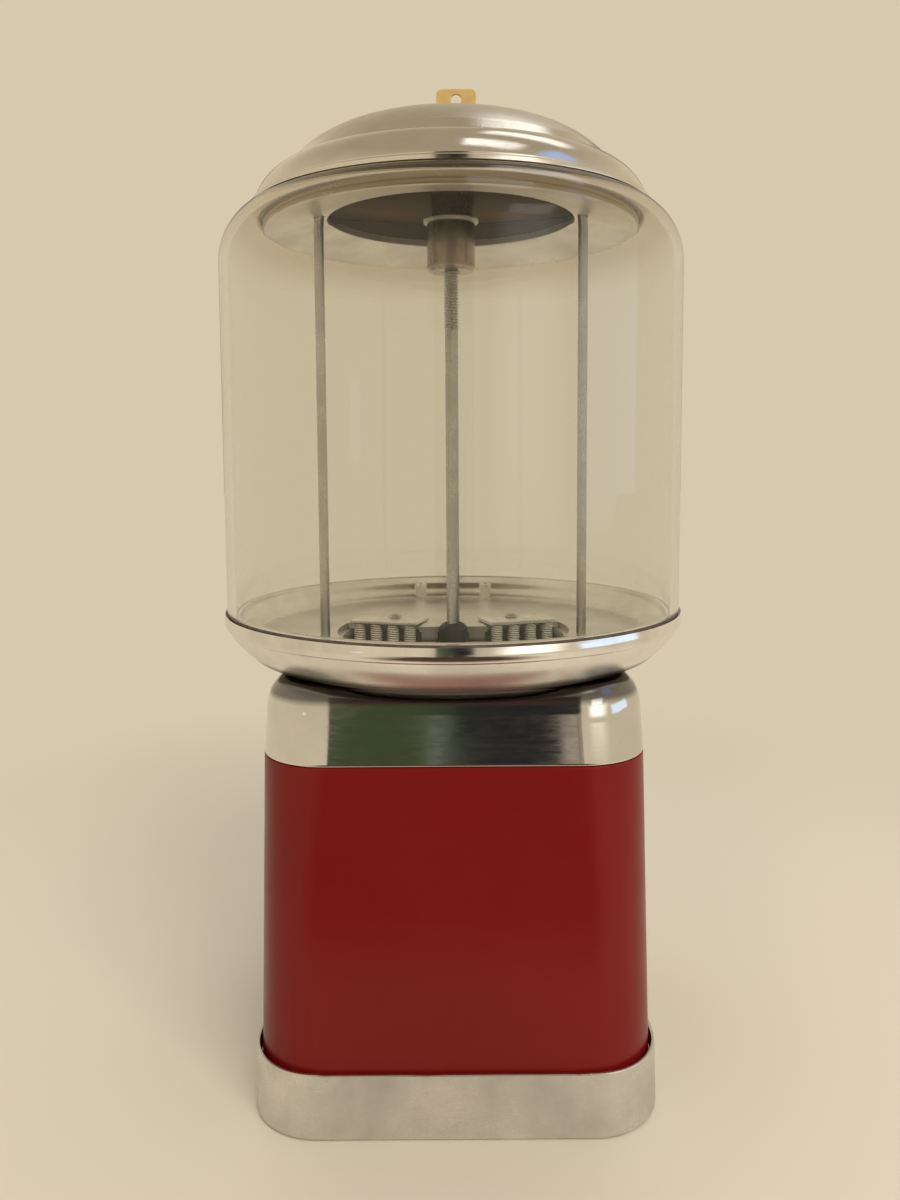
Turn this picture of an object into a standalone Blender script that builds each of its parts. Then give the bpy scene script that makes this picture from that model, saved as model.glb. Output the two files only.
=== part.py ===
# Gumball machine: cast base, lacquered body with a plated cap, coin mechanism, dished tray with
# the ball wheel, glass globe between the tray and a neck ring, and a domed lid with a lock.
# Real sizes in metres, +Z up. The coin mechanism faces -Y and the origin is under the base.

from math import acos, asin, atan2, cos, degrees, hypot, pi, radians, sin, sqrt, tan

import bmesh
import bpy
from mathutils import Matrix

mm = 0.001

# Shared clearances and facet counts
seat_gap = 0.3 * mm
bore_gap = 0.3 * mm
overrun = 4 * mm
sink = 0.5 * mm
big_steps = 36
mid_steps = 20
small_steps = 12
corner_steps = 6
quarter = 90

# Base casting
base_width = 158 * mm
base_height = 25.5 * mm
base_corner = 27 * mm
base_draft = 0.6 * mm
rim_wall = 1.4 * mm
ledge_depth = 5.5 * mm
ledge_width = 4.6 * mm
foot_width = 4.5 * mm
floor_under = 9 * mm
floor_wall = 3 * mm
boss_radius = 9 * mm
boss_height = 5 * mm

# Centre rod and its nut
rod_radius = 2.8 * mm
rod_thread_radius = 3.1 * mm
rod_thread_length = 56 * mm
rod_foot_thread = 12 * mm
rod_bottom = 1.2 * mm
rod_drop = 12 * mm
nut_width = 11 * mm
nut_height = 5 * mm
washer_radius = 8 * mm
washer_wall = 1.2 * mm

# Lacquered body
body_rim_gap = 0.65 * mm
body_height = 119.8 * mm
body_taper = 2.75 * mm
body_corner = 26 * mm
body_wall = 2.5 * mm
panel_inset = 10 * mm
panel_proud = 3 * mm

# Plated cap
cap_height = 28.9 * mm
cap_draft = 1.1 * mm
cap_shoulder_width = 8 * mm
cap_shoulder_height = 13 * mm
cap_ledge = 3.1 * mm
cap_skirt = 6 * mm
cap_wall = 2.5 * mm

# Tray
tray_border = 1.3 * mm
tray_height = 18.2 * mm
tray_rim_rise = 2.5 * mm
tray_floor = 8.9 * mm
tray_floor_wall = 2.7 * mm
tray_seat_width = 3.9 * mm
tray_outside_shares = (
    (0.8436, 0.0), (0.8765, 0.088), (0.921, 0.319), (0.97, 0.538), (0.986, 0.66),
    (0.9965, 0.73), (1.0, 0.82), (0.999, 0.92), (0.991, 0.99),
)
tray_inside_shares = ((0.934, 0.97), (0.907, 0.63), (0.88, 0.1), (0.84, 0.0))
foot_ring = 2.7 * mm
well_inset = 10.6 * mm
well_wall = 2.8 * mm
well_depth = 25.7 * mm
well_floor = 2.7 * mm
rebate_width = 2.2 * mm
rebate_depth = 2.8 * mm
lug_radius = 3.2 * mm
lug_spacing = 34.4 * mm
lug_inset_share = 0.905

# Gasket and globe
gasket_wall = 1.2 * mm
globe_radius = 95.9 * mm
globe_wall = 3.6 * mm
globe_straight = 141.4 * mm
globe_shoulder_width = 23.1 * mm
globe_shoulder_height = 24.3 * mm
globe_mouth_inset = 16 * mm

# Neck ring
ring_side_gap = 1 * mm
ring_depth = 8.2 * mm
ring_wall = 1.3 * mm
ring_flange = 1.3 * mm
ring_flange_overhang = 1.3 * mm
ring_rise = 5.6 * mm
ring_lip = 3.2 * mm
ring_mouth_inset = 5.5 * mm

# Side rods
side_rod_radius = 2 * mm
side_rod_inset = 5.4 * mm
side_rod_angle = 18
side_nut_width = 6.5 * mm
side_nut_height = 3 * mm
side_rod_tail = 6 * mm
spot_face_border = 0.85 * mm

# Lid
lid_overhang = 3 * mm
lid_edge = 2.3 * mm
lid_bead = 1.2 * mm
lid_bead_width = 0.6 * mm
lid_brim_drop = 7.1 * mm
lid_brim_width = 15.9 * mm
lid_brim_height = 19.5 * mm
lid_brim_end = 80
lid_dome_drop = 4.1 * mm
lid_dome_start = 33
lid_dome_inset = 53.5 * mm
lid_dome_width = 44.6 * mm
lid_dome_height = 34.6 * mm
lid_crown_rise = 0.5 * mm
lid_wall = 1.6 * mm

# Lock and key
lock_radius = 8.2 * mm
lock_head_radius = 11 * mm
lock_head_height = 2 * mm
barrel_radius = 10.15 * mm
barrel_height = 19.8 * mm
barrel_roof = 6.1 * mm
lock_washer_radius = 11.6 * mm
lock_washer_wall = 2 * mm
key_wall = 1.8 * mm
key_bow_width = 16.7 * mm
key_bow_height = 16 * mm
key_bow_offset = 2.5 * mm
key_corner = 2.5 * mm
key_hole_radius = 2.3 * mm
key_hole_drop = 4.3 * mm
key_blade_width = 6.5 * mm
key_blade_length = 22 * mm

# Ball wheel and its gearing
pocket_count = 5
pocket_radius_share = 0.2792
pocket_lip = 0.5 * mm
wheel_side_gap = 0.5 * mm
wheel_height = 25.8 * mm
hub_radius = 6.3 * mm
hub_rise = 11 * mm
crown_teeth = 40
crown_width = 3.8 * mm
tooth_height = 3 * mm
tooth_pitch_drop = 1.5 * mm
tooth_wall = 2.6 * mm
tooth_slope = 22
pinion_teeth = 8
pinion_width = 3.4 * mm
pinion_clear = 0.4 * mm

# Wheel cover and brush springs
cover_edge = 4 * mm
row_start_share = 0.2917
row_angle = 18
row_length_share = 0.5917
notch_gap = 0.8 * mm
apron_depth = 4.3 * mm
apron_wall = 2.2 * mm
brush_plate_share = 0.3458
brush_plate_wall = 1.3 * mm
brush_plate_corner = 1.2 * mm
rivet_radius = 1.5 * mm
rivet_head_radius = 2.7 * mm
rivet_head_height = 1.5 * mm
springs_each_side = 4
spring_pitch_share = 0.2535
spring_radius_share = 0.3195
spring_wire = 0.7 * mm
spring_curls = 5
spring_step = 1.15 * mm
spring_points = 7

# Coin mechanism
face_width = 74 * mm
face_height = 72 * mm
face_wall = 3 * mm
face_corner = 8 * mm
face_lift = 10 * mm
dial_radius = 15 * mm
dial_wall = 1.3 * mm
coin_diameter = 24.3 * mm
coin_slot_height = 3 * mm
coin_slot_lift = 21 * mm
hood_border = 3 * mm
hood_corner = 2 * mm
hood_depth = 4.5 * mm
opening_width = 56 * mm
opening_height = 48 * mm
frame_width = 54 * mm
frame_height = 46 * mm
frame_wall = 2.5 * mm
frame_gap = 0.6 * mm
post_radius = 2.6 * mm
post_inset = 4 * mm
shaft_radius = 3.2 * mm
carrier_radius = 21.5 * mm
carrier_wall = 4 * mm
carrier_pocket = 2 * mm
carrier_reach = 14 * mm
ratchet_teeth = 12
ratchet_radius = 16 * mm
ratchet_root = 13.4 * mm
ratchet_wall = 2.5 * mm
pawl_reach_x = 21 * mm
pawl_reach_z = 12.5 * mm
pawl_eye_radius = 3.4 * mm
pawl_pin_radius = 1.6 * mm
pawl_tip_angle = 66
pawl_tip_width = 2 * mm
spring_leaf_wall = 0.5 * mm
screw_reach = 31.5 * mm
screw_radius = 2 * mm
screw_head_radius = 4.2 * mm
screw_head_height = 2.2 * mm
screw_length = 9 * mm
slot_width = 1 * mm
slot_depth = 1 * mm
handle_length = 46 * mm
handle_grip = 11 * mm
handle_grip_end = 7 * mm
handle_depth = 7 * mm
handle_hub_radius = 8 * mm
handle_hub_depth = 11.5 * mm

# Ball chute, its hood and its door
chute_side_room = 1.1 * mm
chute_wall = 1 * mm
chute_drop = 41 * mm
chute_lift_share = 0.1185
chute_mouth_share = 0.3172
chute_body_gap = 0.4 * mm
hood_wall = 1.8 * mm
hood_reach = 15.4 * mm
hood_flange = 8 * mm
hood_flange_wall = 1.7 * mm
door_wall = 1.6 * mm
door_gap = 0.4 * mm
door_pin_radius = 1.1 * mm
knuckle_radius = 2.4 * mm
knuckle_width = 17 * mm
ear_wall = 2.6 * mm
door_pin_lift = 3.4 * mm
ear_start, ear_end = 60, 240

# Places worked out from the sizes above
base_half = base_width / 2
rim_half = base_half - base_draft
nest_half = rim_half - rim_wall
ledge_top = base_height - ledge_depth
pan_half = nest_half - ledge_width
floor_top = floor_under + floor_wall
body_bottom = ledge_top + seat_gap
body_top = body_bottom + body_height
body_half = nest_half - body_rim_gap
body_top_half = body_half - body_taper
panel_y = -(body_top_half + panel_proud)
panel_width = base_width - 2 * (base_corner + panel_inset)
cap_bottom = body_top + seat_gap
cap_top = cap_bottom + cap_height
cap_flat_half = body_top_half - cap_draft - cap_shoulder_width
cap_hole_radius = cap_flat_half - cap_ledge
tray_radius = globe_radius + tray_border
tray_bottom = cap_top + seat_gap
tray_lip = tray_bottom + tray_height
tray_floor_top = tray_bottom + tray_floor
tray_under = tray_floor_top - tray_floor_wall
well_radius = cap_hole_radius - well_inset - well_wall
well_outer = well_radius + well_wall
well_top = tray_floor_top - rebate_depth
well_floor_top = tray_bottom - well_depth
well_bottom = well_floor_top - well_floor
globe_bottom = tray_lip + gasket_wall + 2 * seat_gap
globe_inner = globe_radius - globe_wall
globe_mouth_radius = globe_radius - globe_mouth_inset
globe_mouth_share = 1 - globe_mouth_inset / globe_shoulder_width
globe_top = globe_bottom + globe_straight + globe_shoulder_height * sqrt(1 - globe_mouth_share ** 2)
ring_radius = globe_mouth_radius - ring_side_gap
ring_flange_radius = globe_mouth_radius + ring_flange_overhang
side_rod_reach = well_outer + side_rod_inset
ring_mouth_radius = side_rod_reach - ring_mouth_inset
lid_radius = globe_mouth_radius + lid_overhang
lid_brim_radius = lid_radius - lid_bead_width
lid_dome_flat = lid_radius - lid_dome_inset
lid_seat = globe_top + 2 * seat_gap + ring_flange
lid_top = lid_seat - lid_dome_drop + lid_dome_height + lid_crown_rise
rod_hole = rod_thread_radius + 2 * bore_gap
rod_top = lid_seat - rod_drop

wheel_radius = well_radius - wheel_side_gap
pocket_radius = pocket_radius_share * well_radius
chute_hole_radius = pocket_radius - pocket_lip
row_start = row_start_share * well_radius
row_length = row_length_share * well_radius
brush_plate_depth = brush_plate_share * well_radius
spring_pitch = spring_pitch_share * row_length
spring_radius = spring_radius_share * spring_pitch
notch_depth = 2 * spring_radius + notch_gap
wheel_bottom = well_floor_top + seat_gap
wheel_top = wheel_bottom + wheel_height
crown_outer = wheel_radius - seat_gap
crown_inner = crown_outer - crown_width
crown_radius = (crown_outer + crown_inner) / 2
pocket_limit = crown_radius - pinion_width / 2 - pinion_clear - chute_wall - seat_gap
pocket_reach = pocket_limit - chute_hole_radius
crown_tip = wheel_bottom + seat_gap
crown_root = crown_tip + tooth_height
pitch_plane = crown_tip + tooth_pitch_drop
pinion_radius = crown_radius * pinion_teeth / crown_teeth
shaft_z = pitch_plane - pinion_radius
pinion_back = -crown_radius + pinion_width / 2
pinion_front = pinion_back - pinion_width

face_back = panel_y - seat_gap
face_front = face_back - face_wall
dial_front = face_front - dial_wall
face_z = shaft_z - face_lift
opening_low = shaft_z - opening_height / 2
opening_high = shaft_z + opening_height / 2
shaft_bore = shaft_radius + bore_gap
frame_back = well_outer + frame_gap
chute_inner_width = 2 * (chute_hole_radius + chute_side_room)
chute_floor_lift = body_bottom + chute_lift_share * body_height
chute_mouth_height = chute_mouth_share * body_height

collection = bpy.context.scene.collection


def clear_scene():
    for obj in list(bpy.data.objects):
        bpy.data.objects.remove(obj, do_unlink=True)


def finish(name, colour, roughness, metallic=0.0, alpha=1.0):
    """One plain Principled material for a piece."""
    material = bpy.data.materials.new(name)
    material.use_nodes = True
    shader = material.node_tree.nodes["Principled BSDF"]
    shader.inputs["Base Color"].default_value = (*colour, 1.0)
    shader.inputs["Roughness"].default_value = roughness
    shader.inputs["Metallic"].default_value = metallic
    shader.inputs["Alpha"].default_value = alpha
    material.diffuse_color = (*colour, alpha)
    return material


def chrome(name):
    return finish(name, (0.72, 0.7, 0.66), 0.08, 1.0)


def steel(name):
    return finish(name, (0.52, 0.52, 0.5), 0.3, 1.0)


def solid(name, points, faces, material, sharp=32):
    """One object from points and faces, with its faces turned outwards."""
    mesh = bpy.data.meshes.new(name)
    mesh.from_pydata(points, [], faces)
    shape = bmesh.new()
    shape.from_mesh(mesh)
    bmesh.ops.recalc_face_normals(shape, faces=shape.faces)
    shape.to_mesh(mesh)
    shape.free()
    mesh.shade_smooth()
    mesh.set_sharp_from_angle(angle=radians(sharp))
    if material:
        mesh.materials.append(material)
    obj = bpy.data.objects.new(name, mesh)
    collection.objects.link(obj)
    return obj


def laid(across, along, height, axis):
    """A point of a turned or drawn shape, with its height along Z or along Y."""
    if axis == "Z":
        return (across, along, height)
    return (across, height, along)


def turned(name, outline, material, steps=big_steps, axis="Z", centre=(0, 0), lead_share=0.0):
    """A closed outline of (radius, height) pairs turned about an axis. A zero radius is a pole."""
    points, rings, faces = [], [], []
    for radius, height in outline:
        if radius == 0:
            rings.append([len(points)] * steps)
            points.append(laid(centre[0], centre[1], height, axis))
            continue
        rings.append(list(range(len(points), len(points) + steps)))
        for step in range(steps):
            angle = 2 * pi * (step + lead_share) / steps
            across = centre[0] + radius * cos(angle)
            along = centre[1] + radius * sin(angle)
            points.append(laid(across, along, height, axis))
    for first, second in zip(rings, rings[1:] + rings[:1]):
        for i in range(steps):
            j = (i + 1) % steps
            face = list(dict.fromkeys((first[i], first[j], second[j], second[i])))
            if len(face) > 2:
                faces.append(face)
    return solid(name, points, faces, material)


def skinned(name, loops, material, closed=False, sharp=32):
    """Loops of points joined in order. The end loops are capped, or joined when it is closed."""
    count = len(loops[0])
    points = [point for loop in loops for point in loop]
    starts = [k * count for k in range(len(loops))]
    faces = []
    pairs = list(zip(starts, starts[1:]))
    if closed:
        pairs.append((starts[-1], starts[0]))
    else:
        faces += [list(range(count)), list(range(starts[-1], starts[-1] + count))]
    for first, second in pairs:
        for i in range(count):
            j = (i + 1) % count
            faces.append((first + i, first + j, second + j, second + i))
    return solid(name, points, faces, material, sharp)


def drawn(name, outline, low, high, material, axis="Z"):
    """An outline of (across, along) pairs drawn out from one height to another."""
    loops = [[laid(a, b, height, axis) for a, b in outline] for height in (low, high)]
    return skinned(name, loops, material)


def helper(obj):
    """A shape that only cuts or joins: it isn't a piece of the machine."""
    obj.hide_render = True
    obj.display_type = "WIRE"
    return obj


def apply_shape(obj, other, operation):
    modifier = obj.modifiers.new(other.name, "BOOLEAN")
    modifier.operation = operation
    modifier.solver = "EXACT"
    modifier.object = helper(other)


def cut(obj, *cutters):
    for cutter in cutters:
        apply_shape(obj, cutter, "DIFFERENCE")


def join(obj, *others):
    for other in others:
        apply_shape(obj, other, "UNION")


def block(name, low, high):
    """A box between two corners, as a helper shape."""
    outline = ((low[0], low[1]), (high[0], low[1]), (high[0], high[1]), (low[0], high[1]))
    return drawn(name, outline, low[2], high[2], None)


def peg(name, radius, low, high, centre=(0, 0), axis="Z", steps=small_steps):
    """A plain cylinder as a helper shape."""
    outline = ((0, low), (radius, low), (radius, high), (0, high))
    return turned(name, outline, None, steps, axis, centre, 0.5)


def pivot_at(obj, place):
    """Puts the object's origin on its joint's axis and leaves its shape where it is."""
    obj.data.transform(Matrix.Translation([-value for value in place]))
    obj.location = place


def arc(centre, radii, start, end, steps):
    """Points of an ellipse's arc, from one angle in degrees to another."""
    points = []
    for step in range(steps + 1):
        angle = radians(start + (end - start) * step / steps)
        points.append((centre[0] + radii[0] * cos(angle), centre[1] + radii[1] * sin(angle)))
    return points


def shares_of(table, width, height, base=0):
    """A table of shares as lengths: across in shares of a width, up in shares of a height."""
    return [(across * width, base + up * height) for across, up in table]


def rounded_box(width, height, corner, centre=(0, 0), steps=4):
    """A rectangle's outline with round corners."""
    half_width, half_height = width / 2 - corner, height / 2 - corner
    points = []
    for turn, (sx, sy) in enumerate(((1, 1), (-1, 1), (-1, -1), (1, -1))):
        middle = (centre[0] + sx * half_width, centre[1] + sy * half_height)
        points += arc(middle, (corner, corner), quarter * turn, quarter * (turn + 1), steps)
    return points


def plan(half, corner, height, front=None):
    """The body's rounded square at one height. front moves the middle of its -Y side."""
    points = []
    for turn, (sx, sy) in enumerate(((1, 1), (-1, 1), (-1, -1), (1, -1))):
        middle = (sx * (half - corner), sy * (half - corner))
        points += arc(middle, (corner, corner), quarter * turn, quarter * (turn + 1), corner_steps)
        if turn == 2:
            side = panel_width / 2
            out = -half if front is None else front
            inside = panel_width / 2 - panel_proud
            edge = inside if front is None else side
            points += [(-side, -half), (-edge, out), (edge, out), (side, -half)]
    return [(x, y, height) for x, y in points]


def hex_nut(name, width, low, high, bore, material, centre=(0, 0)):
    """A hexagon nut across its flats, standing on Z, with a plain bore."""
    outer, inner = [], []
    for step in range(small_steps):
        angle = pi * step / 6
        reach = width / 2 / (cos(pi / 6) if step % 2 == 0 else 1)
        outer.append((centre[0] + reach * cos(angle), centre[1] + reach * sin(angle)))
        inner.append((centre[0] + bore * cos(angle), centre[1] + bore * sin(angle)))
    loops = [[(x, y, z) for x, y in loop] for loop, z in
             ((outer, low), (outer, high), (inner, high), (inner, low))]
    return skinned(name, loops, material, closed=True)


# Base and centre rod


def base_casting():
    """A cast pan with a raised rim round the body, a ledge under it and a boss for the rod."""
    metal = finish("cast_aluminium", (0.6, 0.58, 0.54), 0.32, 1.0)
    inner_corner = base_corner - (base_half - pan_half)
    foot_half = base_half - foot_width
    loops = [
        plan(foot_half, inner_corner, floor_under),
        plan(foot_half, inner_corner, 0),
        plan(base_half, base_corner, 0),
        plan(rim_half, base_corner, base_height),
        plan(nest_half, base_corner - rim_wall, base_height),
        plan(nest_half, base_corner - rim_wall, ledge_top),
        plan(pan_half, inner_corner, ledge_top),
        plan(pan_half, inner_corner, floor_top),
    ]
    base = skinned("base_casting", loops, metal)
    join(base, peg("rod_boss", boss_radius, floor_top - sink, floor_top + boss_height))
    cut(base, peg("rod_hole_base", rod_hole, floor_under - overrun, floor_top + boss_height + overrun))


def centre_rod():
    """The tie rod: a plain shank with a thicker threaded zone at each end."""
    thread_start = rod_top - rod_thread_length
    foot_end = rod_bottom + rod_foot_thread
    chamfer = rod_thread_radius - rod_radius
    outline = (
        (0, rod_top), (rod_radius, rod_top), (rod_thread_radius, rod_top - chamfer),
        (rod_thread_radius, thread_start), (rod_radius, thread_start - chamfer),
        (rod_radius, foot_end + chamfer), (rod_thread_radius, foot_end),
        (rod_thread_radius, rod_bottom + chamfer), (rod_radius, rod_bottom), (0, rod_bottom),
    )
    turned("centre_rod", outline, steel("rod_steel"), small_steps)


def rod_fixings():
    bore = rod_thread_radius + bore_gap
    washer_top = floor_under - seat_gap
    washer_low = washer_top - washer_wall
    outline = ((bore, washer_low), (washer_radius, washer_low), (washer_radius, washer_top), (bore, washer_top))
    turned("rod_washer", outline, steel("washer_steel"), mid_steps)
    nut_top = washer_low - seat_gap
    hex_nut("rod_nut", nut_width, nut_top - nut_height, nut_top, bore, steel("nut_steel"))


# Body and cap


def body_section(height, outside=True):
    """One level of the lacquered body, which widens evenly towards the base."""
    share = (body_top - height) / body_height
    half = body_top_half + share * body_taper
    if outside:
        return plan(half, body_corner, height, min(panel_y, -half - sink / 2))
    return plan(half - body_wall, body_corner - body_wall, height)


def mechanism_opening(name):
    low = (-opening_width / 2, panel_y - overrun, opening_low)
    high = (opening_width / 2, panel_y + panel_proud + body_wall + 2 * overrun, opening_high)
    return block(name, low, high)


def body_shell():
    lacquer = finish("red_lacquer", (0.31, 0.012, 0.012), 0.18)
    middle = (body_bottom + body_top) / 2
    loops = [body_section(body_bottom), body_section(middle), body_section(body_top),
             body_section(body_top, False), body_section(middle, False), body_section(body_bottom, False)]
    shell = skinned("body_shell", loops, lacquer, closed=True)
    side = chute_inner_width / 2 + chute_wall + chute_body_gap
    slope = chute_slope()
    edge = chute_wall * sqrt(1 + slope ** 2) + chute_body_gap
    opening = []
    for y in (panel_y - overrun, panel_y + body_wall + panel_proud + overrun):
        floor = chute_floor_lift + (y - panel_y) * slope
        opening += [(y, floor - edge), (y, floor + chute_mouth_height + edge)]
    opening = [opening[0], opening[1], opening[3], opening[2]]
    loops = [[(x, y, z) for y, z in opening] for x in (-side, side)]
    cut(shell, mechanism_opening("mechanism_opening_body"), skinned("chute_opening", loops, None))
    screw_holes(shell, "body")


def body_cap():
    """The plated cap: the body's plan, rounded over to a flat top with a round hole for the tray."""
    shoulder = cap_top - cap_shoulder_height
    shoulder_half = body_top_half - cap_draft
    outer = [plan(body_top_half, body_corner, cap_bottom, panel_y),
             plan(shoulder_half, body_corner, shoulder, panel_y)]
    middle = (cap_flat_half, shoulder)
    radii = (cap_shoulder_width, cap_shoulder_height)
    for half, height in arc(middle, radii, 0, 90, 5)[1:]:
        share = (height - shoulder) / cap_shoulder_height
        front = -half - (1 - share ** 2) * (-panel_y - shoulder_half) - sink / 4
        outer.append(plan(half, body_corner - (shoulder_half - half), height, front))
    inner_half = body_top_half - cap_wall - seat_gap
    inner_corner = body_corner - cap_wall
    under = cap_top - cap_wall
    skirt_half = body_top_half - body_wall - seat_gap
    skirt_low = cap_bottom - cap_skirt
    roof_half = cap_flat_half - cap_wall / 2
    roof_corner = body_corner - cap_shoulder_width
    loops = [
        plan(roof_half, roof_corner, under),
        plan(inner_half - cap_wall, inner_corner, shoulder),
        plan(skirt_half - cap_wall, inner_corner, skirt_low),
        plan(skirt_half, inner_corner, skirt_low),
        plan(skirt_half, inner_corner, cap_bottom),
    ] + outer
    cap = skinned("body_cap", loops, chrome("cap_chrome"))
    cut(cap, peg("tray_hole", cap_hole_radius, under - overrun, cap_top + overrun, steps=big_steps),
        mechanism_opening("mechanism_opening_cap"))


# Tray, gasket, globe and neck ring


def tray():
    """The dished tray: rolled lip, gasket seat, inner rim, floor, and the well for the ball wheel."""
    seat_inner = globe_inner - seat_gap
    outside = shares_of(tray_outside_shares, tray_radius, tray_height, tray_bottom)
    rim = tray_height + tray_rim_rise
    foot_outer = outside[0][0]
    foot_inner = foot_outer - foot_ring
    inner_foot = cap_hole_radius + seat_gap
    rise = tray_lip - tray_floor_top
    inside = shares_of(tray_inside_shares, tray_radius, rise, tray_floor_top)
    outline = outside + [
        (globe_radius - seat_gap, tray_lip),
        (seat_inner, tray_lip),
        (seat_inner - sink, tray_bottom + rim - sink),
        (seat_inner - 2 * sink, tray_bottom + rim),
        (seat_inner - 3 * sink, tray_bottom + rim - sink),
    ] + inside + [
        (well_radius + rebate_width, tray_floor_top),
        (well_radius + rebate_width, well_top),
        (well_radius, well_top),
        (well_radius, well_floor_top),
        (rod_hole, well_floor_top),
        (rod_hole, well_bottom),
        (well_outer, well_bottom),
        (well_outer, tray_under),
        (inner_foot, tray_under),
        (inner_foot, tray_bottom),
        (inner_foot + foot_ring, tray_bottom),
        (inner_foot + foot_ring, tray_under),
        (foot_inner, tray_under),
        (foot_inner, tray_bottom),
    ]
    dish = turned("tray", outline, chrome("tray_chrome"))
    for side in (-1, 1):
        centre = (side * lug_spacing / 2, -sqrt((lug_inset_share * tray_radius) ** 2 - lug_spacing ** 2 / 4))
        lug = peg(f"tray_lug_{side + 1}", lug_radius, tray_floor_top - sink, tray_lip - sink, centre)
        join(dish, lug)
    cut(dish, peg("ball_hole", chute_hole_radius, well_bottom - overrun, well_floor_top + overrun,
                  (0, -pocket_reach), steps=mid_steps))
    slot = pinion_radius + tooth_height / 2 + seat_gap
    low = (-slot, pinion_front - pinion_clear, well_bottom - overrun)
    high = (slot, pinion_back + pinion_clear, well_floor_top + overrun)
    cut(dish, block("pinion_slot", low, high))
    for name, x, y in side_rod_places():
        cut(dish, peg(f"rod_hole_{name}", side_rod_radius + bore_gap, tray_under - overrun,
                      tray_floor_top + overrun, (x, y)))


def side_rod_places():
    """Where the two side rods stand, a little behind the middle."""
    turn = radians(side_rod_angle)
    x, y = side_rod_reach * cos(turn), side_rod_reach * sin(turn)
    return (("left", x, y), ("right", -x, y))


def gasket():
    low = tray_lip + seat_gap
    high = low + gasket_wall
    outer, inner = globe_radius - sink / 2, globe_inner
    outline = ((inner, low), (outer, low), (outer, high), (inner, high))
    rubber = finish("gasket_rubber", (0.05, 0.04, 0.035), 0.6)
    turned("globe_gasket", outline, rubber)


def globe_shoulder(inset, steps):
    """The globe's shoulder from its straight wall up to its mouth, moved in by an inset."""
    width = globe_shoulder_width - inset
    height = globe_shoulder_height - inset
    middle = (globe_radius - globe_shoulder_width, globe_bottom + globe_straight)
    end = degrees(acos((globe_mouth_radius - middle[0]) / width))
    return arc(middle, (width, height), 0, end, steps)


def globe():
    glass = finish("clear_glass", (0.9, 0.92, 0.9), 0.02, 0.0, 0.25)
    outside = globe_shoulder(0, 7)
    inside = globe_shoulder(globe_wall, 5)
    outline = [(globe_inner, globe_bottom), (globe_radius, globe_bottom)] + outside + inside[::-1]
    turned("globe", outline, glass)


def neck_ring():
    """Flange over the glass, skirt inside it, a sloping web and a lip round the filling mouth."""
    under = globe_top + seat_gap
    top = under + ring_flange
    low = under - ring_depth
    lip_low = low + ring_rise
    lip_top = lip_low + ring_lip
    outline = (
        (ring_radius, under), (ring_radius, low + ring_wall), (ring_radius - sink, low),
        (ring_radius - 2 * ring_wall, low), (ring_mouth_radius, lip_low),
        (ring_mouth_radius, lip_top), (ring_mouth_radius + ring_wall, lip_top),
        (ring_mouth_radius + ring_wall, lip_low + ring_wall),
        (ring_radius - 2 * ring_wall, low + ring_wall), (ring_radius - ring_wall, low + 2 * ring_wall),
        (ring_radius - ring_wall, top), (ring_flange_radius, top), (ring_flange_radius, under),
    )
    ring = turned("neck_ring", outline, chrome("ring_chrome"))
    for name, x, y in side_rod_places():
        cut(ring, peg(f"ring_hole_{name}", side_rod_radius + bore_gap, low - overrun, top + overrun, (x, y)),
            peg(f"spot_face_{name}", side_nut_width / 2 + spot_face_border, nut_seat(), lip_top + overrun,
                (x, y)))


def nut_seat():
    """The level of the spot faces that the side rods' top nuts sit on, cut into the neck ring's sloping web."""
    low = globe_top + seat_gap - ring_depth
    start = ring_radius - 2 * ring_wall
    share = (start - side_rod_reach + side_rod_radius) / (start - ring_mouth_radius)
    return low + ring_wall + share * ring_rise


def side_rods():
    """Two thin tie rods that clamp the globe between the tray and the neck ring."""
    bore = side_rod_radius + bore_gap
    nut_low = nut_seat() + seat_gap
    rod_low = tray_under - side_rod_tail
    rod_high = nut_low + side_nut_height + sink
    nut_under = tray_under - seat_gap
    for name, x, y in side_rod_places():
        outline = ((0, rod_low), (side_rod_radius, rod_low), (side_rod_radius, rod_high), (0, rod_high))
        turned(f"side_rod_{name}", outline, steel("side_rod_steel"), small_steps, centre=(x, y))
        hex_nut(f"side_rod_top_nut_{name}", side_nut_width, nut_low, nut_low + side_nut_height, bore,
                steel("side_nut_steel"), (x, y))
        hex_nut(f"side_rod_foot_nut_{name}", side_nut_width, nut_under - side_nut_height, nut_under, bore,
                steel("side_nut_steel"), (x, y))


# Lid, lock and key


def lid_curve(inset, start):
    """The lid's brim and dome, both parts of ellipses, moved in by an inset. The brim starts at a height."""
    middle = (lid_brim_radius - lid_brim_width, lid_seat - lid_brim_drop)
    radii = (lid_brim_width - inset, lid_brim_height - inset)
    brim = arc(middle, radii, degrees(asin((start - middle[1]) / radii[1])), lid_brim_end, 4)
    dome_middle = (lid_dome_flat, lid_seat - lid_dome_drop)
    dome_radii = (lid_dome_width - inset, lid_dome_height - inset)
    return brim + arc(dome_middle, dome_radii, lid_dome_start, quarter, 5)


def lid():
    edge = lid_seat - lid_edge
    bore = lock_radius + bore_gap
    inner_edge = ring_flange_radius + seat_gap
    bead_top = edge + lid_bead
    outside = lid_curve(0, bead_top + sink)
    inside = lid_curve(lid_wall, lid_seat)
    outline = [(inner_edge, edge), (lid_radius, edge), (lid_radius, bead_top)] + outside
    outline += [(bore, lid_top), (bore, lid_top - lid_wall)]
    outline += inside[::-1] + [(inner_edge, lid_seat)]
    turned("lid", outline, chrome("lid_chrome"))


def lock_levels():
    """The heights of the lock's foot and of the barrel nut under it."""
    barrel_top = rod_top + seat_gap + barrel_roof
    barrel_low = barrel_top - barrel_height
    washer_low = barrel_top + seat_gap
    return barrel_low, barrel_top, washer_low, washer_low + lock_washer_wall + seat_gap


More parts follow.
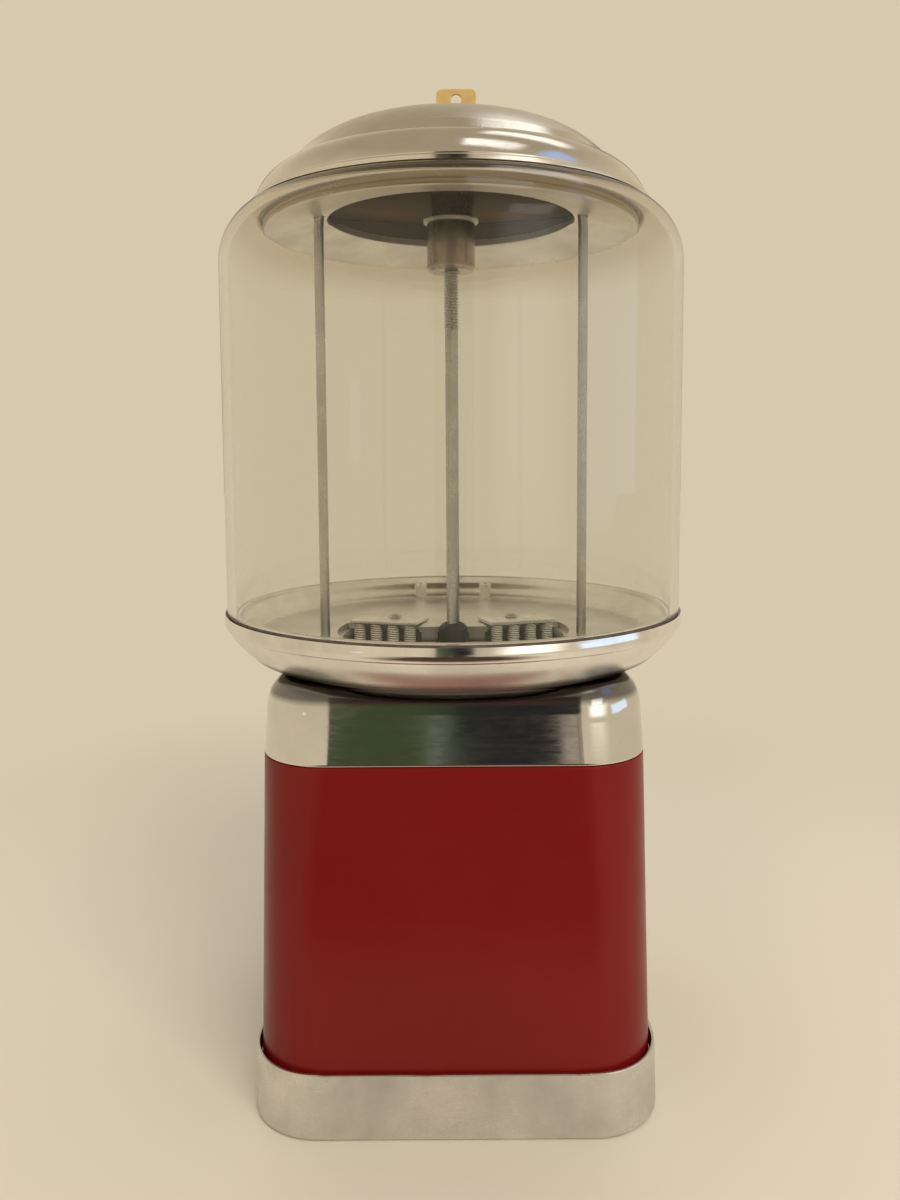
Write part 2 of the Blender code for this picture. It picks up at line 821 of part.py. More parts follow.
def lock():
    """The lock's cylinder through the lid, a white washer and the barrel nut on the rod's thread."""
    barrel_low, barrel_top, washer_low, lock_low = lock_levels()
    head_low = lid_top + seat_gap
    head_top = head_low + lock_head_height
    outline = (
        (0, lock_low), (lock_radius, lock_low), (lock_radius, head_low), (lock_head_radius, head_low),
        (lock_head_radius, head_top - sink), (lock_head_radius - sink, head_top), (0, head_top),
    )
    cylinder = turned("lock_cylinder", outline, steel("lock_steel"), mid_steps)
    half_width = key_blade_width / 2 + bore_gap
    half_wall = key_wall / 2 + bore_gap
    slot_low = head_top - key_blade_length - bore_gap
    cut(cylinder, block("key_slot", (-half_width, -half_wall, slot_low), (half_width, half_wall, head_top + overrun)))
    white = finish("white_nylon", (0.75, 0.73, 0.68), 0.45)
    outline = ((0, washer_low), (lock_washer_radius, washer_low),
               (lock_washer_radius, washer_low + lock_washer_wall), (0, washer_low + lock_washer_wall))
    turned("lock_washer", outline, white, mid_steps)
    bore = rod_thread_radius + bore_gap
    mouth = bore + 2 * sink
    outline = (
        (0, barrel_top), (barrel_radius - sink, barrel_top), (barrel_radius, barrel_top - sink),
        (barrel_radius, barrel_low + 3 * sink), (barrel_radius - 2 * sink, barrel_low), (mouth, barrel_low),
        (bore, barrel_low + 2 * sink), (bore, barrel_top - barrel_roof), (0, barrel_top - barrel_roof),
    )
    turned("barrel_nut", outline, steel("barrel_steel"), mid_steps)


def key():
    """A flat key that stands in the lock, its bow set a little to one side of the blade."""
    brass = finish("key_brass", (0.72, 0.5, 0.2), 0.3, 1.0)
    head_top = lid_top + seat_gap + lock_head_height
    bow_low = head_top + seat_gap
    bow_top = bow_low + key_bow_height
    blade = key_blade_width / 2
    middle = -key_bow_offset
    side = key_bow_width / 2
    outline = arc((middle + side - key_corner, bow_top - key_corner), (key_corner, key_corner), 0, 90, 4)
    outline += arc((middle - side + key_corner, bow_top - key_corner), (key_corner, key_corner), 90, 180, 4)
    outline += [(middle - side, bow_low), (-blade, bow_low), (-blade, head_top - key_blade_length),
                (blade, head_top - key_blade_length), (blade, bow_low), (middle + side, bow_low)]
    piece = drawn("key", outline, -key_wall / 2, key_wall / 2, brass, axis="Y")
    cut(piece, peg("key_ring_hole", key_hole_radius, -key_wall, key_wall, (middle, bow_top - key_hole_drop), "Y"))


# Ball wheel, its cover and the brush springs


def crown_ring():
    """The ring of teeth that points down from the ball wheel's edge."""
    gap_share = 1 / crown_teeth
    loops = []
    half_pitch = tooth_wall / 2
    flare = tan(radians(tooth_slope))
    tip_half = half_pitch - tooth_pitch_drop * flare
    root_half = half_pitch + (tooth_height - tooth_pitch_drop) * flare
    places = []
    for tooth in range(crown_teeth):
        middle = 2 * pi * (tooth + 0.5) * gap_share - pi / 2
        for offset, height in ((-root_half, crown_root), (-tip_half, crown_tip), (tip_half, crown_tip),
                               (root_half, crown_root)):
            places.append((middle + offset / crown_radius, height))
    for radius, top in ((crown_inner, False), (crown_outer, False), (crown_outer, True), (crown_inner, True)):
        loops.append([(radius * cos(angle), radius * sin(angle), crown_root + sink if top else height)
                      for angle, height in places])
    return skinned("crown_teeth", loops, None, closed=True)


def ball_wheel():
    plastic = finish("wheel_plastic", (0.035, 0.03, 0.03), 0.45)
    hub_top = wheel_top + hub_rise
    hub_foot = 2 * rod_hole
    dome = arc((hub_radius / 2, hub_top - hub_radius / 2), (hub_radius / 2, hub_radius / 2), 0, 90, 3)
    outline = [
        (rod_hole, wheel_bottom), (hub_foot, wheel_bottom), (hub_foot, crown_root), (wheel_radius, crown_root),
        (wheel_radius, wheel_top - sink), (wheel_radius - sink, wheel_top), (hub_radius, wheel_top),
    ] + dome[:-1] + [(rod_hole, hub_top)]
    wheel = turned("ball_wheel", outline, plastic)
    join(wheel, crown_ring())
    for pocket in range(pocket_count):
        angle = 2 * pi * pocket / pocket_count - pi / 2
        centre = (pocket_reach * cos(angle), pocket_reach * sin(angle))
        cut(wheel, peg(f"pocket_{pocket}", pocket_radius, crown_tip - overrun, wheel_top + overrun, centre,
                       steps=mid_steps))


def row_point(side, along, across):
    """A place on one spring row: along it from its inner end, and across it towards the front."""
    turn = radians(row_angle)
    x = row_start + along * cos(turn) - across * sin(turn)
    y = -cover_edge - along * sin(turn) - across * cos(turn)
    return (side * x, y)


def wheel_cover():
    """The plate over the front half of the wheel, with a notch in its edge for each row of springs."""
    low = well_top + seat_gap
    reach = well_radius + rebate_width - seat_gap
    border = apron_wall / 2
    edge = tan(radians(row_angle))
    a, b, c = 1 + edge ** 2, edge * (cover_edge - row_start * edge), (cover_edge - row_start * edge) ** 2
    end_x = (-b + sqrt(b ** 2 - a * (c - reach ** 2))) / a
    end_angle = atan2(-(cover_edge + (end_x - row_start) * edge), end_x)
    outline = []
    for step in range(mid_steps + 1):
        angle = end_angle - (pi + 2 * end_angle) * step / mid_steps
        outline.append((reach * cos(angle), reach * sin(angle)))
    notch = ((border + row_length, 0), (border + row_length, notch_depth), (border, notch_depth), (border, 0))
    outline += [row_point(-1, along, across) for along, across in notch]
    hub_gap = hub_radius + 2 * running_room()
    hub_turn = atan2(cover_edge, sqrt(hub_gap ** 2 - cover_edge ** 2))
    outline.append((-row_start, -cover_edge))
    for step in range(small_steps // 2 + 1):
        angle = -pi + hub_turn + (pi - 2 * hub_turn) * step * 2 / small_steps
        outline.append((hub_gap * cos(angle), hub_gap * sin(angle)))
    outline.append((row_start, -cover_edge))
    outline += [row_point(1, along, across) for along, across in notch[::-1]]
    cover = drawn("wheel_cover", outline, low, tray_floor_top, chrome("cover_chrome"))
    apron_low = low - apron_depth
    inner = sqrt(hub_gap ** 2 - cover_edge ** 2) + sink
    for side in (-1, 1):
        corners = [(side * inner, -cover_edge), (side * row_start, -cover_edge),
                   row_point(side, border / 2, apron_wall), (side * (inner + sink), -cover_edge - apron_wall)]
        join(cover, drawn(f"apron_{side + 1}", corners, apron_low, low + sink, None))
        x, y = row_point(side, row_length / 2, brush_plate_depth - 2 * rivet_head_radius)
        cut(cover, peg(f"rivet_hole_cover_{side + 1}", rivet_radius + bore_gap, low - overrun,
                       tray_floor_top + overrun, (x, y)))


def running_room():
    return 2 * bore_gap


def brushes():
    """Each side's plate, its rivet and its row of hanging coil springs."""
    plate_low = tray_floor_top + seat_gap
    plate_top = plate_low + brush_plate_wall
    corner = brush_plate_corner
    for side, name in ((1, "left"), (-1, "right")):
        outline = [row_point(side, along, across) for along, across in
                   rounded_box(row_length, brush_plate_depth, corner,
                               (row_length / 2 + apron_wall / 2, brush_plate_depth / 2 - corner / 2), 2)]
        plate = drawn(f"brush_plate_{name}", outline, plate_low, plate_top, chrome("brush_plate_chrome"))
        x, y = row_point(side, row_length / 2, brush_plate_depth - 2 * rivet_head_radius)
        cut(plate, peg(f"rivet_hole_{name}", rivet_radius + bore_gap, plate_low - overrun,
                       plate_top + overrun, (x, y)))
        rivet_low = plate_top + seat_gap
        head = arc((0, rivet_low), (rivet_head_radius, rivet_head_height), 0, 90, 4)[:-1]
        foot = well_top + seat_gap - sink
        outline = [(0, foot), (rivet_radius, foot), (rivet_radius, rivet_low)] + head
        outline += [(0, rivet_low + rivet_head_height)]
        turned(f"brush_rivet_{name}", outline, steel("rivet_steel"), small_steps, centre=(x, y))
        for number in range(springs_each_side):
            middle = (springs_each_side - 1) / 2
            along = apron_wall / 2 + row_length / 2 + (number - middle) * spring_pitch
            x, y = row_point(side, along, notch_depth / 2)
            brush_spring(f"brush_spring_{name}_{number + 1}", x, y, plate_low - seat_gap, side)


def brush_spring(name, x, y, top, side):
    """One hanging coil spring: a single unbroken tube, straight for one wire's width at each end."""
    curve = bpy.data.curves.new(name, "CURVE")
    curve.dimensions = "3D"
    curve.bevel_depth = spring_wire / 2
    curve.bevel_resolution = 1
    curve.use_fill_caps = True
    count = spring_curls * spring_points
    start = top - 2 * spring_wire
    points = [(x + side * spring_radius, y, top), (x + side * spring_radius, y, top - spring_wire)]
    for step in range(1, count):
        turn = 2 * pi * step / spring_points
        points.append((x + side * spring_radius * cos(turn), y + spring_radius * sin(turn),
                       start - spring_step * step / spring_points))
    end = start - spring_step * spring_curls
    points += [(x + side * spring_radius, y, end), (x + side * spring_radius, y, end - spring_wire)]
    spline = curve.splines.new("POLY")
    spline.points.add(len(points) - 1)
    for point, place in zip(spline.points, points):
        point.co = (*place, 1)
    curve.materials.append(steel("spring_steel"))
    obj = bpy.data.objects.new(name, curve)
    collection.objects.link(obj)
    gaps = []
    far = spring_points - 2
    for i, first in enumerate(points):
        for second in points[i + far:]:
            distance = hypot(hypot(first[0] - second[0], first[1] - second[1]), first[2] - second[2])
            gaps.append(distance - spring_wire)
    print(f"{name}: least gap to itself {min(gaps) / mm:.2f} mm")


# Coin mechanism


def gear_outline(teeth, pitch_radius, add, drop):
    """A spur gear's outline with straight-sided teeth, the tooth thickness measured at the pitch line."""
    flare = tan(radians(tooth_slope))
    outline = []
    for tooth in range(teeth):
        middle = 2 * pi * tooth / teeth + pi / 2
        for radius, half in ((pitch_radius - drop, tooth_wall / 2 + drop * flare / 2),
                             (pitch_radius + add, tooth_wall / 2 - add * flare),
                             (pitch_radius + add, -tooth_wall / 2 + add * flare),
                             (pitch_radius - drop, -tooth_wall / 2 - drop * flare / 2)):
            angle = middle - half / radius
            outline.append((radius * cos(angle), radius * sin(angle)))
    return outline


def on_shaft(outline):
    return [(x, z + shaft_z) for x, z in outline]


def shaft_hole(obj, low, high, radius=None):
    cut(obj, peg(f"{obj.name}_bore", radius or shaft_bore, low - overrun, high + overrun, (0, shaft_z), "Y",
                 mid_steps))


def handle_parts():
    """What turns with the handle: the handle, its shaft, the coin carrier, ratchet and pinion."""
    axis = (0, panel_y, shaft_z)
    plated = chrome("handle_chrome")
    hub_front = dial_front - seat_gap - handle_hub_depth
    hub_back = dial_front - seat_gap
    hub = [(shaft_bore, hub_back), (handle_hub_radius, hub_back), (handle_hub_radius, hub_front + 2 * sink),
           (handle_hub_radius - 2 * sink, hub_front), (shaft_bore, hub_front)]
    handle = turned("handle", hub, plated, mid_steps, "Y", (0, shaft_z))
    grip_front = hub_front + sink
    grip_back = grip_front + handle_depth
    half, end = handle_grip / 2, handle_grip_end / 2
    reach = handle_length / 2 - end
    for side in (-1, 1):
        start = handle_hub_radius - 3 * sink
        wing = [(side * start, half), (side * start, -half)]
        wing += [(side * x, z) for x, z in arc((reach, 0), (end, end), -90, 90, 6)]
        join(handle, drawn(f"handle_wing_{side + 1}", on_shaft(wing), grip_front, grip_back, None, "Y"))
    pivot_at(handle, axis)

    shaft_front = hub_front + 2 * sink
    shaft_back = pinion_back
    outline = ((0, shaft_front), (shaft_radius, shaft_front), (shaft_radius, shaft_back), (0, shaft_back))
    shaft = turned("drive_shaft", outline, steel("shaft_steel"), small_steps, "Y", (0, shaft_z))
    pivot_at(shaft, axis)

    carrier_front = face_back + 4 * seat_gap
    carrier_back = carrier_front + carrier_wall
    outline = ((shaft_bore, carrier_front), (carrier_radius, carrier_front), (carrier_radius, carrier_back),
               (shaft_bore, carrier_back))
    carrier = turned("coin_carrier", outline, finish("carrier_zinc", (0.5, 0.5, 0.48), 0.4, 1.0), mid_steps, "Y",
                     (0, shaft_z))
    cut(carrier, peg("coin_pocket", coin_diameter / 2 + bore_gap, carrier_front - overrun,
                     carrier_front + carrier_pocket, (0, shaft_z + carrier_reach), "Y", mid_steps))
    pivot_at(carrier, axis)

    ratchet_front = carrier_back + seat_gap
    ratchet_back = ratchet_front + ratchet_wall
    outline = []
    for tooth in range(ratchet_teeth):
        angle = 2 * pi * tooth / ratchet_teeth + radians(pawl_tip_angle)
        step = 2 * pi / ratchet_teeth
        for radius, turn in ((ratchet_radius, 0), (ratchet_root, step / 8)):
            outline.append((radius * cos(angle - turn), radius * sin(angle - turn)))
    ratchet = drawn("ratchet_wheel", on_shaft(outline[::-1]), ratchet_front, ratchet_back,
                    steel("ratchet_steel"), "Y")
    shaft_hole(ratchet, ratchet_front, ratchet_back)
    pivot_at(ratchet, axis)

    add = tooth_pitch_drop - pinion_clear
    drop = tooth_pitch_drop + pinion_clear
    pinion = drawn("drive_pinion", on_shaft(gear_outline(pinion_teeth, pinion_radius, add, drop)),
                   pinion_front, pinion_back, steel("pinion_steel"), "Y")
    shaft_hole(pinion, pinion_front, pinion_back)
    pivot_at(pinion, axis)
    return ratchet_front, ratchet_back


def screw_places():
    return (("left", screw_reach), ("right", -screw_reach))


def screw_holes(obj, name):
    """Clear holes for the two screws that hold the coin mechanism to the body."""
    for side, x in screw_places():
        cut(obj, peg(f"screw_hole_{name}_{side}", screw_radius + bore_gap, face_front - overrun,
                     panel_y + panel_proud + body_wall + overrun, (x, face_z), "Y"))


def mechanism_face():
    plated = chrome("face_chrome")
    outline = rounded_box(face_width, face_height, face_corner, (0, face_z))
    face = drawn("mechanism_face", outline, face_front, face_back, plated, "Y")
    slot_z = shaft_z + coin_slot_lift
    half = coin_diameter / 2 + bore_gap
    hood_half = half + hood_border
    hood_outline = rounded_box(2 * hood_half, coin_slot_height + 2 * hood_border, hood_corner, (0, slot_z), 3)
    rim = ((0, dial_front), (dial_radius, dial_front), (dial_radius, face_front + sink), (0, face_front + sink))
    dial_rim = turned("dial", rim, None, mid_steps, "Y", (0, shaft_z))
    join(face, dial_rim, drawn("coin_hood", hood_outline, face_front - hood_depth, face_front + sink, None, "Y"))
    cut(face, block("coin_slot", (-half, face_front - hood_depth - overrun, slot_z - coin_slot_height / 2),
                    (half, face_back + overrun, slot_z + coin_slot_height / 2)))
    shaft_hole(face, dial_front, face_back, shaft_radius + running_room())
    screw_holes(face, "face")
    screw_low = face_front - seat_gap
    for side, x in screw_places():
        head = arc((0, screw_low), (screw_head_radius, -screw_head_height), 0, 90, 4)[:-1]
        tip = screw_low + screw_length
        outline = [(0, tip), (screw_radius, tip), (screw_radius, screw_low)] + head
        outline += [(0, screw_low - screw_head_height)]
        screw = turned(f"mechanism_screw_{side}", outline, steel("screw_steel"), small_steps, "Y", (x, face_z))
        high = screw_low - screw_head_height + slot_depth
        low = (x - screw_head_radius - sink, high - overrun, face_z - slot_width / 2)
        cut(screw, block(f"screw_slot_{side}", low, (x + screw_head_radius + sink, high, face_z + slot_width / 2)))


def mechanism_frame(ratchet_front, ratchet_back):
    """The back plate with four posts, and the pawl that rides on the ratchet."""
    back = -frame_back
    front = back - frame_wall
    outline = rounded_box(frame_width, frame_height, post_radius, (0, shaft_z))
    plate = drawn("mechanism_frame", outline, front, back, steel("frame_steel"), "Y")
    post_front = face_back + seat_gap
    for sx in (-1, 1):
        for sz in (-1, 1):
            centre = (sx * (frame_width / 2 - post_inset), shaft_z + sz * (frame_height / 2 - post_inset))
            join(plate, peg(f"post_{sx + 1}{sz + 1}", post_radius, post_front, front + sink, centre, "Y"))
    shaft_hole(plate, front, back)
    pin_x, pin_z = pawl_reach_x, shaft_z + pawl_reach_z
    cut(plate, peg("pawl_pin_hole", pawl_pin_radius + bore_gap, front - overrun, back + overrun,
                   (pin_x, pin_z), "Y"))
    pin_front = ratchet_front - sink
    outline = ((0, pin_front), (pawl_pin_radius, pin_front), (pawl_pin_radius, back), (0, back))
    turned("pawl_pin", outline, steel("pin_steel"), small_steps, "Y", (pin_x, pin_z))
    tip = radians(pawl_tip_angle)
    tip_reach = ratchet_radius + seat_gap
    tip_x, tip_z = tip_reach * cos(tip), shaft_z + tip_reach * sin(tip)
    along = atan2(tip_z - pin_z, tip_x - pin_x)
    side_x, side_z = -sin(along), cos(along)
    eye = pawl_eye_radius
    outline = [(tip_x, tip_z), (tip_x - pawl_tip_width * side_x, tip_z - pawl_tip_width * side_z)]
    for step in range(small_steps // 2 + 1):
        angle = along - pi / 2 - pi * step * 2 / small_steps
        outline.append((pin_x + eye * cos(angle), pin_z + eye * sin(angle)))
    pawl = drawn("pawl", outline, ratchet_front, ratchet_back, steel("pawl_steel"), "Y")
    cut(pawl, peg("pawl_bore", pawl_pin_radius + bore_gap, ratchet_front - overrun, ratchet_back + overrun,
                  (pin_x, pin_z), "Y"))
    pivot_at(pawl, (pin_x, ratchet_front, pin_z))


# Chute, hood and door


def chute_slope():
    """How steeply the chute's floor falls towards the front."""
    drop = well_bottom - seat_gap - chute_drop - chute_floor_lift
    return drop / (-pocket_reach + chute_hole_radius - panel_y)


def chute():
    """The duct from the wheel's delivery hole, down behind the mechanism and out to the front."""
    top = well_bottom - seat_gap
    near, far = -pocket_reach + chute_hole_radius + seat_gap, -pocket_reach - chute_hole_radius - seat_gap
    mouth = panel_y + seat_gap
    bend = top - chute_drop
    slope = chute_slope()
    low = bend - (near - mouth) * slope
    high = low + chute_mouth_height
    ceiling = high + (far - mouth) * slope
    wall = chute_wall
    edge = wall * sqrt(1 + slope ** 2)
    inner = [(near, top + overrun), (far, top + overrun), (far, ceiling), (mouth - overrun, high - overrun * slope),
             (mouth - overrun, low - overrun * slope), (near, bend)]
    outer = [(near + wall, top), (far - wall, top), (far - wall, ceiling + edge - wall * slope),
             (mouth, high + edge), (mouth, low - edge), (near + wall, bend - edge + wall * slope)]
    half = chute_inner_width / 2
    metal = finish("chute_plastic", (0.12, 0.12, 0.12), 0.5)
    loops = [[(x, y, z) for y, z in outer] for x in (-half - wall, half + wall)]
    duct = skinned("ball_chute", loops, metal)
    hollow = skinned("chute_hollow", [[(x, y, z) for y, z in inner] for x in (-half, half)], None)
    cut(duct, hollow)


def chute_hood():
    """The plated mouth on the front: a flange, a short open box and two ears for the door's pin."""
    half = chute_inner_width / 2 + chute_wall
    low = chute_floor_lift - chute_wall
    high = chute_floor_lift + chute_mouth_height - chute_wall
    back = panel_y - seat_gap
    flange_front = back - hood_flange_wall
    front = flange_front - hood_reach + door_gap
    wall = hood_wall
    middle = (low + high) / 2
    outline = rounded_box(2 * (half + hood_flange), high - low + 2 * hood_flange - 4 * wall, hood_flange / 2,
                          (0, middle + wall))
    hood = drawn("chute_hood", outline, flange_front, back, chrome("hood_chrome"), "Y")
    box = block("hood_box", (-half - wall, front, low - wall), (half + wall, flange_front + sink, high + wall))
    pin_y, pin_z = door_axis()
    ears = []
    for side in (-1, 1):
        inner = knuckle_width / 2 + seat_gap
        heel = pin_y + door_wall / 2 + door_gap + sink
        outline = arc((pin_y, pin_z), (knuckle_radius, knuckle_radius), ear_start, ear_end, 6)
        outline += [(heel, pin_z - knuckle_radius), (heel, high + sink), (pin_y + 4 * knuckle_radius, high + sink)]
        loops = [[(side * x, y, z) for y, z in outline] for x in (inner, inner + ear_wall)]
        ears.append(skinned(f"hood_ear_{side + 1}", loops, None))
    join(hood, box, *ears)
    cut(hood, block("hood_mouth", (-half, front - overrun, low), (half, back + overrun, high)))
    pin_half = knuckle_width / 2 + seat_gap + ear_wall
    pin_hole = turned("hood_pin_hole", sideways_peg(door_pin_radius + bore_gap, pin_half + overrun), None, small_steps)
    stand_on_x(pin_hole, pin_y, pin_z)
    cut(hood, pin_hole)
    pin = turned("door_pin", sideways_peg(door_pin_radius, pin_half + sink), steel("door_pin_steel"), small_steps)
    stand_on_x(pin, pin_y, pin_z)


def sideways_peg(radius, half):
    return ((0, -half), (radius, -half), (radius, half), (0, half))


def stand_on_x(obj, y, z):
    """Lays a piece turned about Z along X, through a point."""
    obj.data.transform(Matrix.Translation((0, y, z)) @ Matrix.Rotation(pi / 2, 4, "Y"))


def door_axis():
    """The hinge line of the chute door: above the hood's front edge."""
    front = panel_y - seat_gap - hood_flange_wall - hood_reach
    high = chute_floor_lift + chute_mouth_height - chute_wall + hood_wall
    return front - door_wall / 2, high + door_pin_lift


def chute_door():
    """A flap that hangs from its pin in front of the hood and swings outwards."""
    pin_y, pin_z = door_axis()
    half = chute_inner_width / 2 + chute_wall + hood_wall
    low = chute_floor_lift - chute_wall - hood_wall
    shoulder = pin_z - door_pin_lift - seat_gap
    outline = [(-half, shoulder), (-half, low + 2 * hood_wall)]
    outline += arc((-half + 2 * hood_wall, low + 2 * hood_wall), (2 * hood_wall, 2 * hood_wall), 180, 270, 4)[1:]
    outline += arc((half - 2 * hood_wall, low + 2 * hood_wall), (2 * hood_wall, 2 * hood_wall), 270, 360, 4)
    tongue = knuckle_width / 2
    outline += [(half, shoulder), (tongue, shoulder), (tongue, pin_z), (-tongue, pin_z), (-tongue, shoulder)]
    door = drawn("chute_door", outline, pin_y - door_wall / 2, pin_y + door_wall / 2, chrome("door_chrome"), "Y")
    knuckle = turned("door_knuckle", sideways_peg(knuckle_radius, tongue), None, small_steps)
    stand_on_x(knuckle, pin_y, pin_z)
    join(door, knuckle)
    bore = turned("door_bore", sideways_peg(door_pin_radius + bore_gap, tongue + overrun), None, small_steps)
    stand_on_x(bore, pin_y, pin_z)
    cut(door, bore)
    pivot_at(door, (0, pin_y, pin_z))


def build():
    clear_scene()
    base_casting()
    centre_rod()
    rod_fixings()
    body_shell()
    body_cap()
    tray()
    gasket()
    globe()
    neck_ring()
    side_rods()
    lid()
    lock()
    key()
    ball_wheel()
    wheel_cover()
    brushes()
    ratchet_front, ratchet_back = handle_parts()
    mechanism_face()
    mechanism_frame(ratchet_front, ratchet_back)
    chute()
    chute_hood()
    chute_door()


build()
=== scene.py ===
import math

import bmesh
import bpy
import numpy as np
from mathutils import Matrix, Vector


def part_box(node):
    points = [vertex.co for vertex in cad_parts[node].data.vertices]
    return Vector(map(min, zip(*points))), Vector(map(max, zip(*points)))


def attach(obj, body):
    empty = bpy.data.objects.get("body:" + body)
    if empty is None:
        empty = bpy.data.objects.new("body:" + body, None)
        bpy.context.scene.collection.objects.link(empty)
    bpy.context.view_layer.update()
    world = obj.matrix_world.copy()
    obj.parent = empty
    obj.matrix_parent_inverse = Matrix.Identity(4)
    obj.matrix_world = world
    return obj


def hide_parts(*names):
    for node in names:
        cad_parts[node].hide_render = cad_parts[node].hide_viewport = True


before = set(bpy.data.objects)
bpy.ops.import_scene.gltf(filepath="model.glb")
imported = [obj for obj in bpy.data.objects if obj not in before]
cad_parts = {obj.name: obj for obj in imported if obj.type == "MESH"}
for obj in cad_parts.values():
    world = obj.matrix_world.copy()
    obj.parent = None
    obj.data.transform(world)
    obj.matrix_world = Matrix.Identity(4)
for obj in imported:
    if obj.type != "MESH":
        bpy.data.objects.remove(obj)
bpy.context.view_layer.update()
mm = 0.001
print("frame loaded")


# Shared mesh helpers

def finishMesh(name, mesh, slotName, body, sharpAngle=38):
    # doubles merged so poles and seams close, then faces turned outwards and shaded smooth
    shape = bmesh.new()
    shape.from_mesh(mesh)
    bmesh.ops.remove_doubles(shape, verts=shape.verts, dist=2e-7)
    bmesh.ops.recalc_face_normals(shape, faces=shape.faces)
    shape.to_mesh(mesh)
    shape.free()
    mesh.shade_smooth()
    mesh.set_sharp_from_angle(angle=math.radians(sharpAngle))
    piece = bpy.data.objects.new(name, mesh)
    bpy.context.scene.collection.objects.link(piece)
    if slotName:
        mesh.materials.append(finishes[slotName])
        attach(piece, body)
    return piece


def gridPiece(name, grid, slotName, body, along=True, sharpAngle=38):
    # rows and columns of points joined as quads; each row closes on itself, and along joins the last row to the first
    rows, cols = grid.shape[:2]
    index = np.arange(rows * cols).reshape(rows, cols)
    if along:
        index = np.vstack([index, index[:1]])
    index = np.hstack([index, index[:, :1]])
    quads = np.stack([index[:-1, :-1], index[:-1, 1:], index[1:, 1:], index[1:, :-1]], axis=-1)
    mesh = bpy.data.meshes.new(name)
    mesh.from_pydata(grid.reshape(-1, 3).tolist(), [], quads.reshape(-1, 4).tolist())
    return finishMesh(name, mesh, slotName, body, sharpAngle)


def turn(name, outline, slotName, body, steps=160, centre=(0, 0), axis="Z", sharpAngle=38):
    # surface of revolution: point (r, h) of a closed outline goes to (r cos a, r sin a, h) about the axis
    outline = np.asarray(outline, float)
    angle = np.linspace(0, 2 * np.pi, steps, endpoint=False)
    one = centre[0] + outline[:, :1] * np.cos(angle)
    two = centre[1] + outline[:, :1] * np.sin(angle)
    height = np.repeat(outline[:, 1:2], steps, axis=1)
    order = {"Z": (one, two, height), "Y": (one, height, two)}[axis]
    return gridPiece(name, np.stack(order, axis=-1), slotName, body, sharpAngle=sharpAngle)


def roundCorners(points, steps=5):
    # each corner (r, h, fillet) of a closed outline becomes a short curve that meets both edges smoothly
    points = np.asarray(points, float)
    made = []
    for here, before, after in zip(points, np.roll(points, 1, axis=0), np.roll(points, -1, axis=0)):
        if here[2] == 0:
            made.append(here[None, :2])
            continue
        back, on = before[:2] - here[:2], after[:2] - here[:2]
        lengthBack, lengthOn = np.linalg.norm(back), np.linalg.norm(on)
        reach = min(here[2], 0.48 * lengthBack, 0.48 * lengthOn)
        start, end = here[:2] + back / lengthBack * reach, here[:2] + on / lengthOn * reach
        t = np.linspace(0, 1, steps + 1)[:, None]
        made.append((1 - t) ** 2 * start + 2 * t * (1 - t) * here[:2] + t ** 2 * end)
    return held(np.vstack(made))


def held(points, reach=0.25 * mm):
    # two more points just inside the ends of every long straight run keep its shading flat
    made = []
    for here, after in zip(points, np.roll(points, -1, axis=0)):
        made.append(here)
        length = np.linalg.norm(after - here)
        if length > 6 * reach:
            step = (after - here) / length * reach
            made += [here + step, after - step]
    return np.array(made)


def ellipse(centre, radii, start, end, steps):
    # points of an ellipse's arc, between two angles in degrees
    angle = np.radians(np.linspace(start, end, steps + 1))
    return np.stack([centre[0] + radii[0] * np.cos(angle), centre[1] + radii[1] * np.sin(angle)], axis=1)


def sharp(points):
    # a plain run of (r, h) points as corners without a fillet
    points = np.asarray(points, float)
    return np.hstack([points, np.zeros((len(points), 1))])


def through(points, steps=8):
    # a smooth curve through the points: each stretch is a cubic whose ends follow the neighbours
    p = np.asarray(points, float)
    p = np.vstack([2 * p[0] - p[1], p, 2 * p[-1] - p[-2]])
    t = np.linspace(0, 1, steps, endpoint=False)[:, None]
    made = [0.5 * (2 * b + (c - a) * t + (2 * a - 5 * b + 4 * c - d) * t ** 2 + (3 * b - a - 3 * c + d) * t ** 3)
            for a, b, c, d in zip(p, p[1:], p[2:], p[3:])]
    return np.vstack(made + [p[-2:-1]])


def squareLoop(half, corner, height, proud=0.0, cornerSteps=20):
    # rounded square at one height: straight sides and quarter circles, the -Y side pushed out as a flat panel
    straight = half - corner
    edge = frontPanel["halfWidth"]
    ramp = frontPanel["ramp"]
    along = np.concatenate([np.linspace(-straight, -edge, 4)[:-1], np.linspace(-edge, ramp - edge, 6),
                            np.linspace(ramp - edge, edge - ramp, 12)[1:-1], np.linspace(edge - ramp, edge, 6),
                            np.linspace(edge, straight, 4)[1:]])
    turnBy = np.radians(np.linspace(0, 90, cornerSteps + 2))[1:-1]
    made = []
    for quarter in range(4):
        side = np.stack([np.full(len(along), half), along], axis=1)
        bend = np.stack([straight + corner * np.cos(turnBy), straight + corner * np.sin(turnBy)], axis=1)
        spin = np.array([[0, 1], [-1, 0]]) if quarter else np.eye(2)
        turnMatrix = np.linalg.matrix_power(spin, quarter)
        made.append(np.vstack([side, bend]) @ turnMatrix)
    loop = np.vstack(made)
    if proud:
        share = np.clip((edge - np.abs(loop[:, 0])) / ramp, 0, 1)
        smooth = share * share * (3 - 2 * share)
        loop[:, 1] -= np.where(loop[:, 1] < straight - half, smooth * proud, 0)
    return np.column_stack([loop, np.full(len(loop), height)])


def circleLoop(radius, height, like):
    # a circle with its points in the same directions as another loop's
    angle = np.arctan2(like[:, 1], like[:, 0])
    return np.column_stack([radius * np.cos(angle), radius * np.sin(angle), np.full(len(like), height)])


